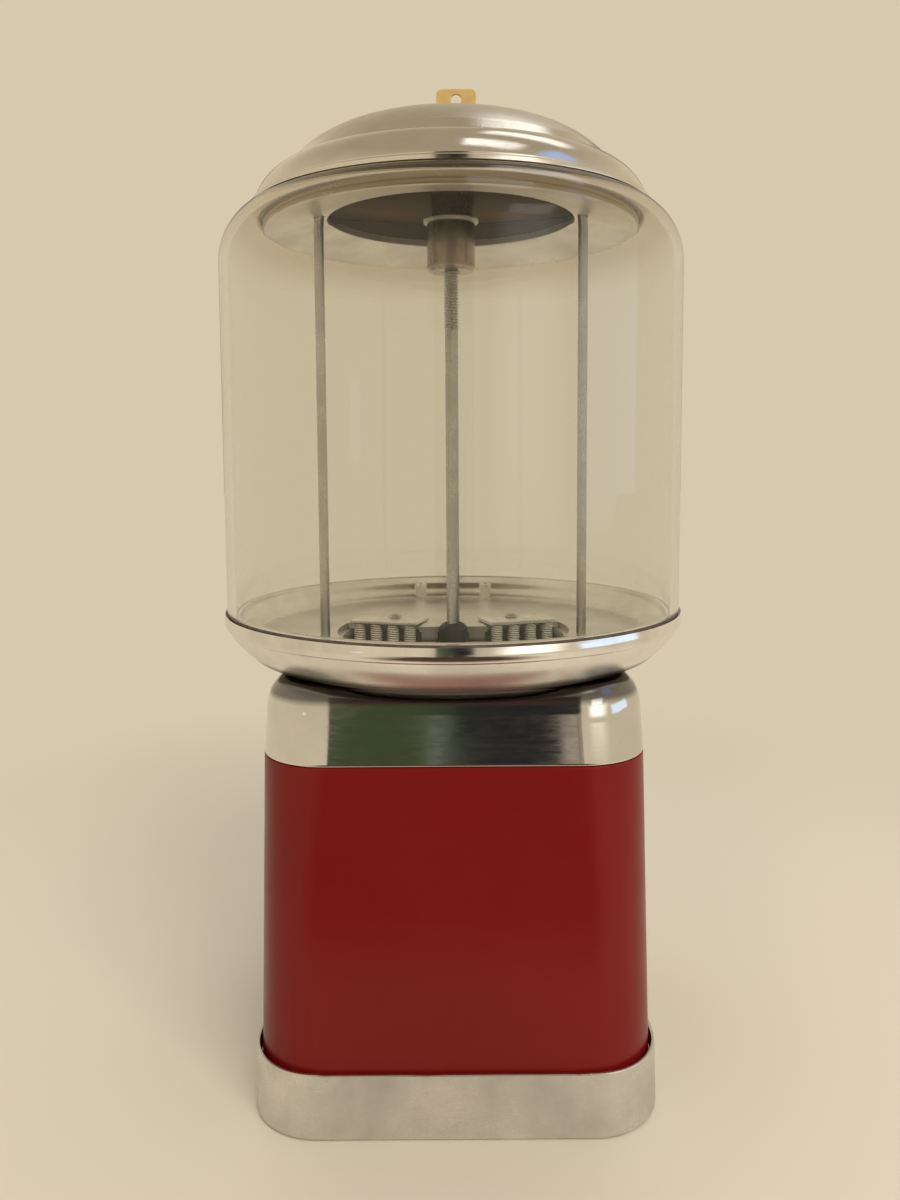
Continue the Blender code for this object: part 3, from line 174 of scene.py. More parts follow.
def tube(name, path, radius, slotName, body, sides=12):
    # circles carried along a path, each square to it, with the path's ends closed on their middle points
    tangent = np.gradient(path, axis=0)
    tangent /= np.linalg.norm(tangent, axis=1, keepdims=True)
    up = np.array([0.0, 0.0, 1.0])
    side = np.cross(tangent, up)
    flat = np.linalg.norm(side, axis=1) < 0.05
    side[flat] = np.array([1.0, 0.0, 0.0])
    side /= np.linalg.norm(side, axis=1, keepdims=True)
    other = np.cross(side, tangent)
    angle = np.linspace(0, 2 * np.pi, sides, endpoint=False)
    rings = (path[:, None] + radius * (np.cos(angle)[None, :, None] * side[:, None]
                                       + np.sin(angle)[None, :, None] * other[:, None]))
    first = np.repeat(path[:1, None], sides, axis=1)
    last = np.repeat(path[-1:, None], sides, axis=1)
    return gridPiece(name, np.vstack([first, rings, last]), slotName, body, along=False, sharpAngle=50)


def carve(piece, cutter):
    # takes one closed shape out of another for good, and removes the cutter
    modifier = piece.modifiers.new("carve", "BOOLEAN")
    modifier.operation = "DIFFERENCE"
    modifier.solver = "EXACT"
    modifier.object = cutter
    graph = bpy.context.evaluated_depsgraph_get()
    graph.update()
    old = piece.data
    made = bpy.data.meshes.new_from_object(piece.evaluated_get(graph))
    piece.modifiers.clear()
    piece.data = made
    made.name = old.name
    made.set_sharp_from_angle(angle=math.radians(38))
    bpy.data.objects.remove(cutter, do_unlink=True)


def drill(piece, radius, start, end, steps, centre, axis="Z"):
    # a round hole between two heights along the axis
    outline = np.array([(0, start), (radius, start), (radius, end), (0, end)])
    carve(piece, turn("cutter", outline, None, None, steps, centre, axis))


def boxShape(low, high):
    mesh = bpy.data.meshes.new("cutter")
    shape = bmesh.new()
    bmesh.ops.create_cube(shape, size=1)
    low, high = np.array(low), np.array(high)
    for vert in shape.verts:
        vert.co = Vector((low + high) / 2 + np.array(vert.co) * (high - low))
    shape.to_mesh(mesh)
    shape.free()
    cutter = bpy.data.objects.new("cutter", mesh)
    bpy.context.scene.collection.objects.link(cutter)
    return cutter


def bevelCopy(node, name, slotName, body, width, sharpAngle=36, segments=2):
    # the CAD piece's own shape with its loose triangles merged, flat faces rejoined and edges eased
    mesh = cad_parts[node].data.copy()
    mesh.name = name
    mesh.materials.clear()
    shape = bmesh.new()
    shape.from_mesh(mesh)
    bmesh.ops.remove_doubles(shape, verts=shape.verts, dist=2e-6)
    bmesh.ops.dissolve_limit(shape, angle_limit=math.radians(1.0), verts=shape.verts, edges=shape.edges)
    shape.to_mesh(mesh)
    shape.free()
    for attribute in list(mesh.attributes):
        if attribute.name in ("custom_normal", "sharp_edge", "sharp_face"):
            mesh.attributes.remove(attribute)
    mesh.shade_smooth()
    mesh.set_sharp_from_angle(angle=math.radians(sharpAngle))
    piece = bpy.data.objects.new(name, mesh)
    bpy.context.scene.collection.objects.link(piece)
    mesh.materials.append(finishes[slotName])
    modifier = piece.modifiers.new("easedEdges", "BEVEL")
    modifier.width = width
    modifier.segments = segments
    modifier.limit_method = "ANGLE"
    modifier.angle_limit = math.radians(sharpAngle)
    modifier.harden_normals = True
    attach(piece, body)
    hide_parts(node)
    return piece


# Finishes: one material for each slot, patterns on Object coordinates

finishes = {}


def startFinish(slotName):
    material = bpy.data.materials.new(slotName)
    material.use_nodes = True
    finishes[slotName] = material
    tree = material.node_tree
    shader = tree.nodes["Principled BSDF"]
    place = tree.nodes.new("ShaderNodeTexCoord")
    return tree, shader, place


def noise(tree, place, scale, detail=4.0, stretch=(1, 1, 1), rough=0.5):
    mapping = tree.nodes.new("ShaderNodeMapping")
    mapping.inputs["Scale"].default_value = stretch
    tree.links.new(place.outputs["Object"], mapping.inputs["Vector"])
    made = tree.nodes.new("ShaderNodeTexNoise")
    made.inputs["Scale"].default_value = scale
    made.inputs["Detail"].default_value = detail
    made.inputs["Roughness"].default_value = rough
    tree.links.new(mapping.outputs["Vector"], made.inputs["Vector"])
    return made.outputs["Fac"]


def ranged(tree, value, fromLow, fromHigh, toLow, toHigh):
    node = tree.nodes.new("ShaderNodeMapRange")
    node.inputs["From Min"].default_value = fromLow
    node.inputs["From Max"].default_value = fromHigh
    node.inputs["To Min"].default_value = toLow
    node.inputs["To Max"].default_value = toHigh
    tree.links.new(value, node.inputs["Value"])
    return node.outputs["Result"]


def combine(tree, one, two, operation, clamp=True):
    node = tree.nodes.new("ShaderNodeMath")
    node.operation = operation
    node.use_clamp = clamp
    tree.links.new(one, node.inputs[0])
    if isinstance(two, float):
        node.inputs[1].default_value = two
    else:
        tree.links.new(two, node.inputs[1])
    return node.outputs["Value"]


def mixColours(tree, factor, one, two):
    # each of the two is a plain colour or another node's output
    node = tree.nodes.new("ShaderNodeMix")
    node.data_type = "RGBA"
    tree.links.new(factor, node.inputs["Factor"])
    for colour, socket in ((one, node.inputs["A"]), (two, node.inputs["B"])):
        if isinstance(colour, tuple):
            socket.default_value = (*colour, 1)
        else:
            tree.links.new(colour, socket)
    return node.outputs["Result"]


def bump(tree, shader, height, strength, distance):
    node = tree.nodes.new("ShaderNodeBump")
    node.inputs["Strength"].default_value = strength
    node.inputs["Distance"].default_value = distance
    tree.links.new(height, node.inputs["Height"])
    tree.links.new(node.outputs["Normal"], shader.inputs["Normal"])


metalFinishes = {
    "cast_base": dict(bright=(0.75, 0.735, 0.7), dull=(0.56, 0.545, 0.515), rough=(0.2, 0.42), cloud=26,
                      lines=(1, 1, 9), lineScale=90, dent=0.05),
    "rod_steel": dict(bright=(0.58, 0.58, 0.56), dull=(0.5, 0.5, 0.48), rough=(0.24, 0.32), cloud=60,
                      lines=(1, 1, 0.1), lineScale=900, dent=0.03),
    "fixing_steel": dict(bright=(0.64, 0.62, 0.58), dull=(0.42, 0.4, 0.37), rough=(0.2, 0.36), cloud=150,
                         lineScale=700, dent=0.06),
    "cap_chrome": dict(bright=(0.78, 0.76, 0.72), dull=(0.66, 0.64, 0.6), rough=(0.035, 0.12), cloud=22,
                       lines=(1, 1, 6), lineScale=160, dent=0.02),
    "tray_chrome": dict(bright=(0.9, 0.88, 0.84), dull=(0.72, 0.7, 0.66), rough=(0.06, 0.22), cloud=34,
                        lines=(1, 1, 3), lineScale=240, dent=0.05),
    "ring_chrome": dict(bright=(0.84, 0.81, 0.76), dull=(0.68, 0.65, 0.6), rough=(0.26, 0.4), cloud=40,
                        lines=(1, 1, 2), lineScale=240, dent=0.05),
    "lid_chrome": dict(bright=(0.8, 0.76, 0.7), dull=(0.7, 0.66, 0.6), rough=(0.07, 0.2), cloud=30, lineScale=320,
                       dent=0.04),
    "lock_steel": dict(bright=(0.62, 0.6, 0.57), dull=(0.4, 0.38, 0.36), rough=(0.16, 0.32), cloud=120,
                       lines=(1, 1, 0.2), lineScale=500, dent=0.05),
    "barrel_steel": dict(bright=(0.5, 0.44, 0.38), dull=(0.36, 0.31, 0.27), rough=(0.14, 0.28), cloud=60,
                         lines=(1, 1, 0.15), lineScale=600, dent=0.05),
    "key_brass": dict(bright=(0.86, 0.62, 0.24), dull=(0.7, 0.46, 0.15), metallic=0.5, rough=(0.25, 0.42), cloud=140,
                      lines=(0.2, 1, 1), lineScale=600, dent=0.08),
    "brush_chrome": dict(metallic=0.6, bright=(0.76, 0.73, 0.61), dull=(0.6, 0.57, 0.46), rough=(0.16, 0.3),
                         cloud=90, lineScale=400, dent=0.08),
    "spring_steel": dict(metallic=0.45, bright=(0.8, 0.77, 0.6), dull=(0.6, 0.57, 0.43), rough=(0.08, 0.16),
                         cloud=200, lineScale=900, dent=0.04),
    "handle_chrome": dict(bright=(0.8, 0.78, 0.74), dull=(0.72, 0.7, 0.66), rough=(0.04, 0.13), cloud=60,
                          lineScale=300, dent=0.03),
    "mechanism_steel": dict(bright=(0.6, 0.59, 0.56), dull=(0.42, 0.41, 0.38), rough=(0.26, 0.44), cloud=60,
                            lines=(1, 1, 0.2), lineScale=400, dent=0.08),
    "mechanism_zinc": dict(bright=(0.56, 0.56, 0.54), dull=(0.4, 0.4, 0.38), rough=(0.34, 0.5), cloud=70,
                           lineScale=300, dent=0.12),
    "face_chrome": dict(bright=(0.8, 0.78, 0.74), dull=(0.72, 0.7, 0.66), rough=(0.05, 0.14), cloud=50,
                        lineScale=300, dent=0.03),
}


# where finishes and painted shade change, in metres: heights, or radii from the upright axis
regions = dict(trayFoot=(0.1722, 0.1742), capShoulder=(0.1622, 0.1645), ringFace=(0.0778, 0.0784),
               trayBowl=(0.084, 0.0848), trayRoll=(0.0916, 0.0924), trayWall=(0.1815, 0.1832),
               lidScuffs=(0.366, 0.369), lidSatin=(0.3705, 0.373), glassNeck=(0.331, 0.346))


def splitPlace(tree, place, kind="Object"):
    split = tree.nodes.new("ShaderNodeSeparateXYZ")
    tree.links.new(place.outputs[kind], split.inputs["Vector"])
    return [split.outputs[axis] for axis in "XYZ"]


def radiusFrom(tree, place):
    # distance from the upright axis
    squares = [combine(tree, axis, axis, "MULTIPLY", False) for axis in splitPlace(tree, place)[:2]]
    return combine(tree, combine(tree, *squares, "ADD", False), 0.5, "POWER", False)


def trayUnderside(tree, place):
    # the tray's underside and well, everything below the foot of the bowl: unpolished and rougher, with a dark brown
    # tone painted in as the shade under the tray
    return ranged(tree, splitPlace(tree, place)[2], *regions["trayFoot"], 1, 0)


def capShoulderPaintedShade(tree, place):
    # the cap's shoulder under the tray, darkened blue-grey: a painted reflection of the tray's shaded underside
    return ranged(tree, splitPlace(tree, place)[2], *regions["capShoulder"], 0, 0.85)


def ringSkirt(tree, place):
    # the neck ring's outer skirt, rougher, with a brown tone painted in as the darker reflection it shows behind the
    # glass shoulder
    return ranged(tree, radiusFrom(tree, place), *regions["ringFace"], 0, 0.85)


def insideEllipse(tree, radius, height, centre, radii):
    # squared distance from an ellipse's centre, 1 on the ellipse
    across = ranged(tree, combine(tree, radius, centre[0], "SUBTRACT"), 0, radii[0], 0, 1)
    up = ranged(tree, height, centre[1], centre[1] + radii[1], 0, 1)
    return combine(tree, combine(tree, across, across, "MULTIPLY"), combine(tree, up, up, "MULTIPLY"), "ADD", False)


def lidInside(tree, place):
    # where a point lies inside the brim's or the dome's ellipse: the lid's inner skin, unpolished and rougher, with a
    # brown tone painted in for the shade and the dark reflections inside the lid
    radius, height = radiusFrom(tree, place), splitPlace(tree, place)[2]
    values = [insideEllipse(tree, radius, height, (flat * mm, low * mm), (width * mm, rise * mm))
              for flat, width, rise, low in ((66.4, 15.9, 19.5, 348.9), (29.4, 44.6, 34.6, 351.9))]
    return ranged(tree, combine(tree, *values, "MINIMUM", False), 0.955, 0.985, 1, 0)


# for each slot with a rougher side, its tones painted shade and painted reflection: where it is, its two tones and its
# roughness
roughAndShadedSides = {
    # tray: dark brown painted shade under the tray, on rougher metal
    "tray_chrome": (trayUnderside, ((0.26, 0.21, 0.165), (0.13, 0.105, 0.08)), 0.34),
    # cap: blue-grey painted reflection of the shaded tray underside
    "cap_chrome": (capShoulderPaintedShade, ((0.17, 0.165, 0.165), (0.1, 0.1, 0.105)), 0.14),
    # ring: brown painted reflection on the skirt, on rougher metal
    "ring_chrome": (ringSkirt, ((0.5, 0.43, 0.33), (0.38, 0.32, 0.24)), 0.3),
    # lid: rougher inner skin with brown painted shade
    "lid_chrome": (lidInside, ((0.6, 0.46, 0.35), (0.38, 0.28, 0.21)), 0.2),
}


def metalFinish(slotName, look):
    # plated or bare metal: cloudy colour, uneven gloss and hairline scratches in the bump
    tree, shader, place = startFinish(slotName)
    shader.inputs["Metallic"].default_value = look.get("metallic", 1.0)
    cloud = noise(tree, place, look["cloud"], 5, rough=0.6)
    fine = noise(tree, place, look["lineScale"], 3, look.get("lines", (1, 1, 1)), 0.7)
    colour = mixColours(tree, ranged(tree, cloud, 0.38, 0.68, 0, 1), look["bright"], look["dull"])
    mixed = combine(tree, combine(tree, cloud, 0.62, "MULTIPLY"), combine(tree, fine, 0.38, "MULTIPLY"), "ADD")
    gloss = ranged(tree, mixed, 0.36, 0.62, *look["rough"])
    # on these sides the colour turns to the painted shade and painted reflection tones, and the gloss gets rougher
    if slotName in roughAndShadedSides:
        region, tones, rough = roughAndShadedSides[slotName]
        roughShadedSide = region(tree, place)
        colour = mixColours(tree, roughShadedSide, colour, mixColours(tree, cloud, *tones))
        gloss = combine(tree, gloss, combine(tree, roughShadedSide, rough, "MULTIPLY"), "MAXIMUM")
    if slotName == "tray_chrome":
        radius = radiusFrom(tree, place)
        gloss = combine(tree, gloss, ranged(tree, radius, *regions["trayBowl"], 0.4, 0.14), "MAXIMUM")
        gloss = combine(tree, gloss, ranged(tree, radius, *regions["trayRoll"], 1, 0.6), "MULTIPLY")
        wall = ranged(tree, splitPlace(tree, place)[2], *regions["trayWall"], 0.27, 0)
        gloss = combine(tree, gloss, wall, "MAXIMUM")
    if slotName == "lid_chrome":
        # fine scuffs in patches over the dome catch the light
        height = splitPlace(tree, place)[2]
        patch = combine(tree, ranged(tree, noise(tree, place, 34, 2), 0.5, 0.58, 0, 1),
                        ranged(tree, height, *regions["lidScuffs"], 0, 1), "MULTIPLY")
        scuffs = combine(tree, noise(tree, place, 1500, 1, (1, 2, 1)), combine(tree, patch, 8.0, "MULTIPLY", False),
                         "MULTIPLY", False)
        fine = combine(tree, fine, scuffs, "ADD", False)
        gloss = combine(tree, gloss, ranged(tree, height, *regions["lidSatin"], 0, 0.34), "MAXIMUM")
    tree.links.new(colour, shader.inputs["Base Color"])
    tree.links.new(gloss, shader.inputs["Roughness"])
    bump(tree, shader, fine, look["dent"], 0.0002)


lacquerLook = dict(tones=((0.185, 0.0065, 0.005), (0.165, 0.0055, 0.0045)), coat=0.22, coatRough=0.06, sheen=0.12,
                   rough=(0.28, 0.4))


def lacquerFinish():
    # deep red enamel under a clear glossy coat, with a faint unevenness of the coat
    look = lacquerLook
    tree, shader, place = startFinish("red_lacquer")
    cloud = noise(tree, place, 14, 4)
    tree.links.new(mixColours(tree, ranged(tree, cloud, 0.3, 0.7, 0, 1), *look["tones"]), shader.inputs["Base Color"])
    shader.inputs["Coat Weight"].default_value = look["coat"]
    shader.inputs["Coat Roughness"].default_value = look["coatRough"]
    shader.inputs["Specular IOR Level"].default_value = look["sheen"]
    tree.links.new(ranged(tree, noise(tree, place, 60, 4), 0.3, 0.7, *look["rough"]), shader.inputs["Roughness"])
    bump(tree, shader, noise(tree, place, 240, 3), 0.03, 0.0002)


glassLook = dict(tones=((0.9, 0.9, 0.87), (0.7, 0.65, 0.55)), bending=1.46)


def glassFinish():
    # clear pressed glass, a little uneven, thin enough in tint to stay neutral; from the neck up the tint turns darker
    # brown, painted shade for the band on the shoulder
    tree, shader, place = startFinish("globe_glass")
    # the shoulder's darker brown tone is painted shade
    neck = ranged(tree, splitPlace(tree, place)[2], *regions["glassNeck"], 0, 1)
    tree.links.new(mixColours(tree, neck, *glassLook["tones"]), shader.inputs["Base Color"])
    shader.inputs["Transmission Weight"].default_value = 1.0
    shader.inputs["IOR"].default_value = glassLook["bending"]
    tree.links.new(ranged(tree, noise(tree, place, 30, 3), 0.55, 0.8, 0.0, 0.03), shader.inputs["Roughness"])
    bump(tree, shader, noise(tree, place, 9, 2), 0.05, 0.002)


plainFinishes = {
    "gasket_rubber": dict(light=(0.13, 0.1, 0.08), dark=(0.08, 0.06, 0.05), rough=(0.5, 0.75), scale=300, dent=0.2),
    "white_nylon": dict(light=(0.8, 0.78, 0.72), dark=(0.6, 0.57, 0.5), rough=(0.35, 0.55), scale=160, dent=0.08),
    "wheel_plastic": dict(light=(0.04, 0.036, 0.034), dark=(0.018, 0.016, 0.015), rough=(0.3, 0.5),
                          scale=120, dent=0.1),
    "chute_plastic": dict(light=(0.08, 0.078, 0.075), dark=(0.045, 0.043, 0.042), rough=(0.4, 0.6),
                          scale=140, dent=0.15),
}


def plainFinish(slotName, look):
    # moulded rubber or plastic: two near tones, fine grain and an uneven sheen
    tree, shader, place = startFinish(slotName)
    grain = noise(tree, place, look["scale"], 4)
    tree.links.new(mixColours(tree, ranged(tree, grain, 0.35, 0.65, 0, 1), look["light"], look["dark"]),
                   shader.inputs["Base Color"])
    tree.links.new(ranged(tree, grain, 0.3, 0.7, *look["rough"]), shader.inputs["Roughness"])
    bump(tree, shader, noise(tree, place, 6 * look["scale"], 3), look["dent"], 0.0001)


for slotName, look in metalFinishes.items():
    metalFinish(slotName, look)
for slotName, look in plainFinishes.items():
    plainFinish(slotName, look)
lacquerFinish()
glassFinish()
print("finishes made:", len(finishes))


# Body: base casting, lacquered shell and plated cap

frontPanel = dict(halfWidth=42 * mm, ramp=3 * mm)
baseLook = dict(half=79 * mm, topHalf=78.4 * mm, corner=27 * mm, rim=1.4 * mm, ledge=20 * mm, panHalf=72.4 * mm,
                floorTop=12 * mm, floorUnder=9 * mm, floorRing=60 * mm, footHalf=74.5 * mm, boss=9 * mm,
                bossTop=17 * mm, bore=3.7 * mm, leastCorner=8 * mm, sunk=0.35 * mm, chipped=0.3 * mm,
                chips=((50, 1.2), (12, 2.5), (-30, 1.5), (-37, 1.1), (-44, 2)))


def baseCasting():
    # rounded-square rings carried round the section of rim, ledge, pan, boss and underside
    look = baseLook
    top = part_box("base_casting")[1][2]
    nest = look["topHalf"] - look["rim"]
    section = roundCorners([
        (look["footHalf"], look["floorUnder"], 1 * mm), (look["footHalf"], 0, 0.4 * mm), (look["half"], 0, 1.5 * mm),
        (look["topHalf"], top, 0.5 * mm), (nest, top, 0.4 * mm), (nest, look["ledge"], 0.6 * mm),
        (look["panHalf"], look["ledge"], 0.6 * mm), (look["panHalf"], look["floorTop"], 2 * mm),
        (look["floorRing"], look["floorTop"], 0), (look["floorRing"], look["floorUnder"], 0)], 6)
    loops = [squareLoop(half, max(look["corner"] - (look["half"] - half), look["leastCorner"]), height)
             for half, height in section]
    guide = loops[0]
    middle = [(look["boss"], look["floorTop"]), (look["boss"] - 0.6 * mm, look["bossTop"]),
              (look["bore"], look["bossTop"]), (look["bore"], look["floorUnder"])]
    # they stand between the floor's upper and lower ring, in place of the points held there
    upper, lower = [int(np.argmin(np.hypot(section[:, 0] - look["floorRing"], section[:, 1] - height)))
                    for height in (look["floorTop"], look["floorUnder"])]
    loops[upper + 1:lower] = [circleLoop(r, h, guide) for r, h in middle]
    # worn rim: along the back it sinks a little, with a few shallow chips
    loops = np.array(loops)
    x, y, z = loops[..., 0], loops[..., 1], loops[..., 2]
    back = np.clip((y - 76 * mm) / (1 * mm), 0, 1) * np.clip((z - (top - 1.5 * mm)) / (1.2 * mm), 0, 1)
    sink = np.clip((51 * mm - x) / (1.5 * mm), 0, 1) * np.clip((x + 58 * mm) / (20 * mm), 0, 1)
    chips = sum(np.exp(-((x - at * mm) / (wide * mm)) ** 2) for at, wide in look["chips"])
    z -= back * (look["sunk"] * sink + look["chipped"] * chips)
    base = gridPiece("baseCasting", loops, "cast_base", "base")
    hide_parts("base_casting")


shellLook = dict(corner=26 * mm, wall=2.5 * mm, panelAt=76.6 * mm, taper=2.75 * mm, ease=0.5 * mm)
boltHole = 2.3 * mm
rodPlaces = [(side * 53.45 * mm, 17.37 * mm) for side in (-1, 1)]


def bodyShell():
    # rounded-square rings that widen evenly from the top to the base, outside up and inside down
    look = shellLook
    low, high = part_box("body_shell")
    bottom, top = low[2], high[2]
    bottomHalf = high[0]
    topHalf = bottomHalf - look["taper"]
    ease = look["ease"]

    def halfAt(height):
        return bottomHalf + (topHalf - bottomHalf) * (height - bottom) / (top - bottom)

    loops = []
    heights = [bottom, bottom + 0.12 * mm, bottom + ease, bottom + 2 * ease]
    insets = [ease, 0.12 * mm, 0, 0]
    levels = list(zip(heights, insets)) + [(h, 0) for h in np.linspace(bottom + 10 * mm, top - 10 * mm, 9)]
    levels += [(bottom + top - h, inset) for h, inset in zip(heights[::-1], insets[::-1])]
    for height, inset in levels:
        half = halfAt(height) - inset
        loops.append(squareLoop(half, look["corner"] - inset, height, look["panelAt"] - inset - half))
    for height in (top, top - ease, (top + bottom) / 2, bottom + ease, bottom):
        half = halfAt(height) - look["wall"]
        loops.append(squareLoop(half, look["corner"] - look["wall"], height))
    shell = gridPiece("bodyShell", np.array(loops), "red_lacquer", "cabinet")
    carve(shell, boxShape((-28 * mm, -90 * mm, 112.9 * mm), (28 * mm, -63 * mm, 160 * mm)))
    carve(shell, boxShape((-15.4 * mm, -90 * mm, 33 * mm), (15.4 * mm, -65 * mm, 76 * mm)))
    for side in (-1, 1):
        drill(shell, boltHole, -90 * mm, -63 * mm, 24, (side * 31.5 * mm, 126.94 * mm), "Y")
    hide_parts("body_shell")


capLook = dict(shoulderHeight=13 * mm, shoulderWidth=8 * mm, draft=1.1 * mm, hole=61.4 * mm, wall=2.5 * mm,
               skirtOuter=70.8 * mm, skirtInner=68.3 * mm, proud=3 * mm)


def bodyCap():
    # the shell's plan drawn up, rounded over by a quarter ellipse, and closed in to the tray's round hole
    look = capLook
    low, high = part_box("body_cap")
    topHalf = high[0]
    seam = low[2] + 6 * mm
    top = high[2]
    shoulder = top - look["shoulderHeight"]
    straight = topHalf - look["draft"]
    flat = straight - look["shoulderWidth"]
    proud = look["proud"]
    corner = shellLook["corner"]
    levels = [(topHalf - 0.5 * mm, seam, proud), (topHalf - 0.12 * mm, seam + 0.12 * mm, proud)]
    levels += [(topHalf + (straight - topHalf) * t, seam + 0.5 * mm + (shoulder - seam - 0.5 * mm) * t, proud)
               for t in (0, 0.03, 0.25, 0.5, 0.75, 0.97, 1)]
    curve = ellipse((flat, shoulder), (look["shoulderWidth"], look["shoulderHeight"]), 0, 90, 22)[1:]
    levels += [(half, height, proud * (1 - ((height - shoulder) / look["shoulderHeight"]) ** 2))
               for half, height in curve]
    loops = [squareLoop(half, corner - max(straight - half, 0), height, max(push, 0))
             for half, height, push in levels]
    guide = loops[-1]
    under = top - look["wall"]
    loops += [circleLoop(look["hole"] + 0.5 * mm, top, guide), circleLoop(look["hole"], top - 0.5 * mm, guide),
              circleLoop(look["hole"], under, guide)]
    inner = look["skirtInner"]
    loops += [squareLoop(flat - look["wall"] / 2, corner - look["shoulderWidth"], under),
              squareLoop(inner, corner - look["wall"], shoulder), squareLoop(inner, corner - look["wall"], low[2]),
              squareLoop(look["skirtOuter"], corner - look["wall"], low[2]),
              squareLoop(look["skirtOuter"], corner - look["wall"], seam)]
    cap = gridPiece("bodyCap", np.array(loops), "cap_chrome", "cabinet")
    carve(cap, boxShape((-28 * mm, -90 * mm, 112.9 * mm), (28 * mm, -63.1 * mm, 160.9 * mm)))
    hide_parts("body_cap")


baseCasting()
bodyShell()
bodyCap()
print("body made")


# Tray, gasket, globe and neck ring

trayLook = dict(bottom=169.6 * mm, floorTop=178.5 * mm, lipRise=18.2 * mm, bead=1.1 * mm, well=48 * mm,
                wellOuter=50.8 * mm, wellFloor=143.9 * mm, bore=3.7 * mm)


def trayDish():
    # the dish and its well in one closed outline: foot rings, bowl, rolled lip, gasket seat, wall and floor
    look = trayLook
    low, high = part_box("tray")
    r = high[0]
    bottom, rimTop = look["bottom"], high[2]
    lip = bottom + look["lipRise"]
    floor = look["floorTop"]
    under = floor - 2.7 * mm
    bowl = through([(82.2 * mm, bottom + 0.3 * mm), (85.3 * mm, bottom + 1.7 * mm), (89.6 * mm, bottom + 5.6 * mm),
                    (93.4 * mm, bottom + 9.7 * mm), (95.5 * mm, bottom + 13.0 * mm)])
    roll = through([(95.6 * mm, bottom + 13.3 * mm), (96.6 * mm, bottom + 14.1 * mm), (r, bottom + 16.2 * mm),
                    (r - 0.15 * mm, bottom + 17.8 * mm), (96.7 * mm, lip + look["bead"])])
    wall = through([(90.6 * mm, rimTop - 0.9 * mm), (90.1 * mm, lip - 1 * mm), (88.4 * mm, floor + 5.6 * mm),
                    (86.2 * mm, floor + 1.7 * mm), (82.5 * mm, floor + 0.15 * mm), (79 * mm, floor)])
    outline = np.vstack([
        sharp(bowl), sharp(roll), [(96.15 * mm, lip + look["bead"], 0.2 * mm), (96.1 * mm, lip, 0.2 * mm)],
        [(92.1 * mm, lip, 0.3 * mm), (91.7 * mm, rimTop, 0.4 * mm)], sharp(wall),
        [(50.2 * mm, floor, 0.4 * mm), (50.2 * mm, floor - 2.8 * mm, 0.2 * mm),
         (look["well"], floor - 2.8 * mm, 0.3 * mm), (look["well"], look["wellFloor"], 1 * mm),
         (look["bore"], look["wellFloor"], 0.3 * mm), (look["bore"], low[2], 0.3 * mm),
         (look["wellOuter"], low[2], 1.2 * mm), (look["wellOuter"], under, 1 * mm), (61.7 * mm, under, 0.6 * mm),
         (61.7 * mm, bottom, 0.4 * mm), (64.4 * mm, bottom, 0.4 * mm), (64.4 * mm, under, 0.6 * mm),
         (79.3 * mm, under, 0.6 * mm), (79.3 * mm, bottom, 0.4 * mm)]])
    dish = turn("trayDish", roundCorners(outline), "tray_chrome", "cabinet", 192)
    drill(dish, 12.9 * mm, 138 * mm, 146 * mm, 64, (0, -29 * mm))
    carve(dish, boxShape((-10.9 * mm, -47.4 * mm, 138 * mm), (10.9 * mm, -43.2 * mm, 146 * mm)))
    for place in rodPlaces:
        drill(dish, boltHole, 172 * mm, 182 * mm, 24, place)
    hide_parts("tray")
    for side, name in ((1, "trayLugLeft"), (-1, "trayLugRight")):
        outline = roundCorners([(0, floor - 1 * mm, 0), (3.2 * mm, floor - 1 * mm, 0),
                                (3.2 * mm, lip - 0.6 * mm, 1.2 * mm), (0, lip - 0.6 * mm, 0)])
        turn(name, outline, "tray_chrome", "cabinet", 40, (side * 17.2 * mm, -86.3 * mm))


def globeGlass():
    # straight glass wall with an elliptical shoulder up to the mouth, the inner skin inset by the wall
    low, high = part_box("globe")
    wall, shoulder = 3.6 * mm, (23.1 * mm, 24.3 * mm)
    centre = (high[0] - shoulder[0], low[2] + 141.4 * mm)
    mouth = 79.9 * mm

    def shoulderCurve(inset):
        radii = (shoulder[0] - inset, shoulder[1] - inset)
        end = math.degrees(math.acos((mouth - centre[0]) / radii[0]))
        return ellipse(centre, radii, 0, end, 30)

    outline = np.vstack([[(high[0] - wall, low[2], 0.8 * mm), (high[0], low[2], 0.8 * mm)], sharp(shoulderCurve(0)),
                         sharp(shoulderCurve(wall)[::-1])])
    globe = turn("globeGlass", roundCorners(outline), "globe_glass", "cabinet", 192, sharpAngle=60)
    globe.visible_shadow = False
    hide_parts("globe")


def gasketRing():
    low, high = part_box("globe_gasket")
    outline = roundCorners([(92.3 * mm, low[2], 0.4 * mm), (high[0], low[2], 0.4 * mm), (high[0], high[2], 0.4 * mm),
                            (92.3 * mm, high[2], 0.4 * mm)])
    ring = turn("gasketRing", outline, "gasket_rubber", "cabinet", 160)
    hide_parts("globe_gasket")


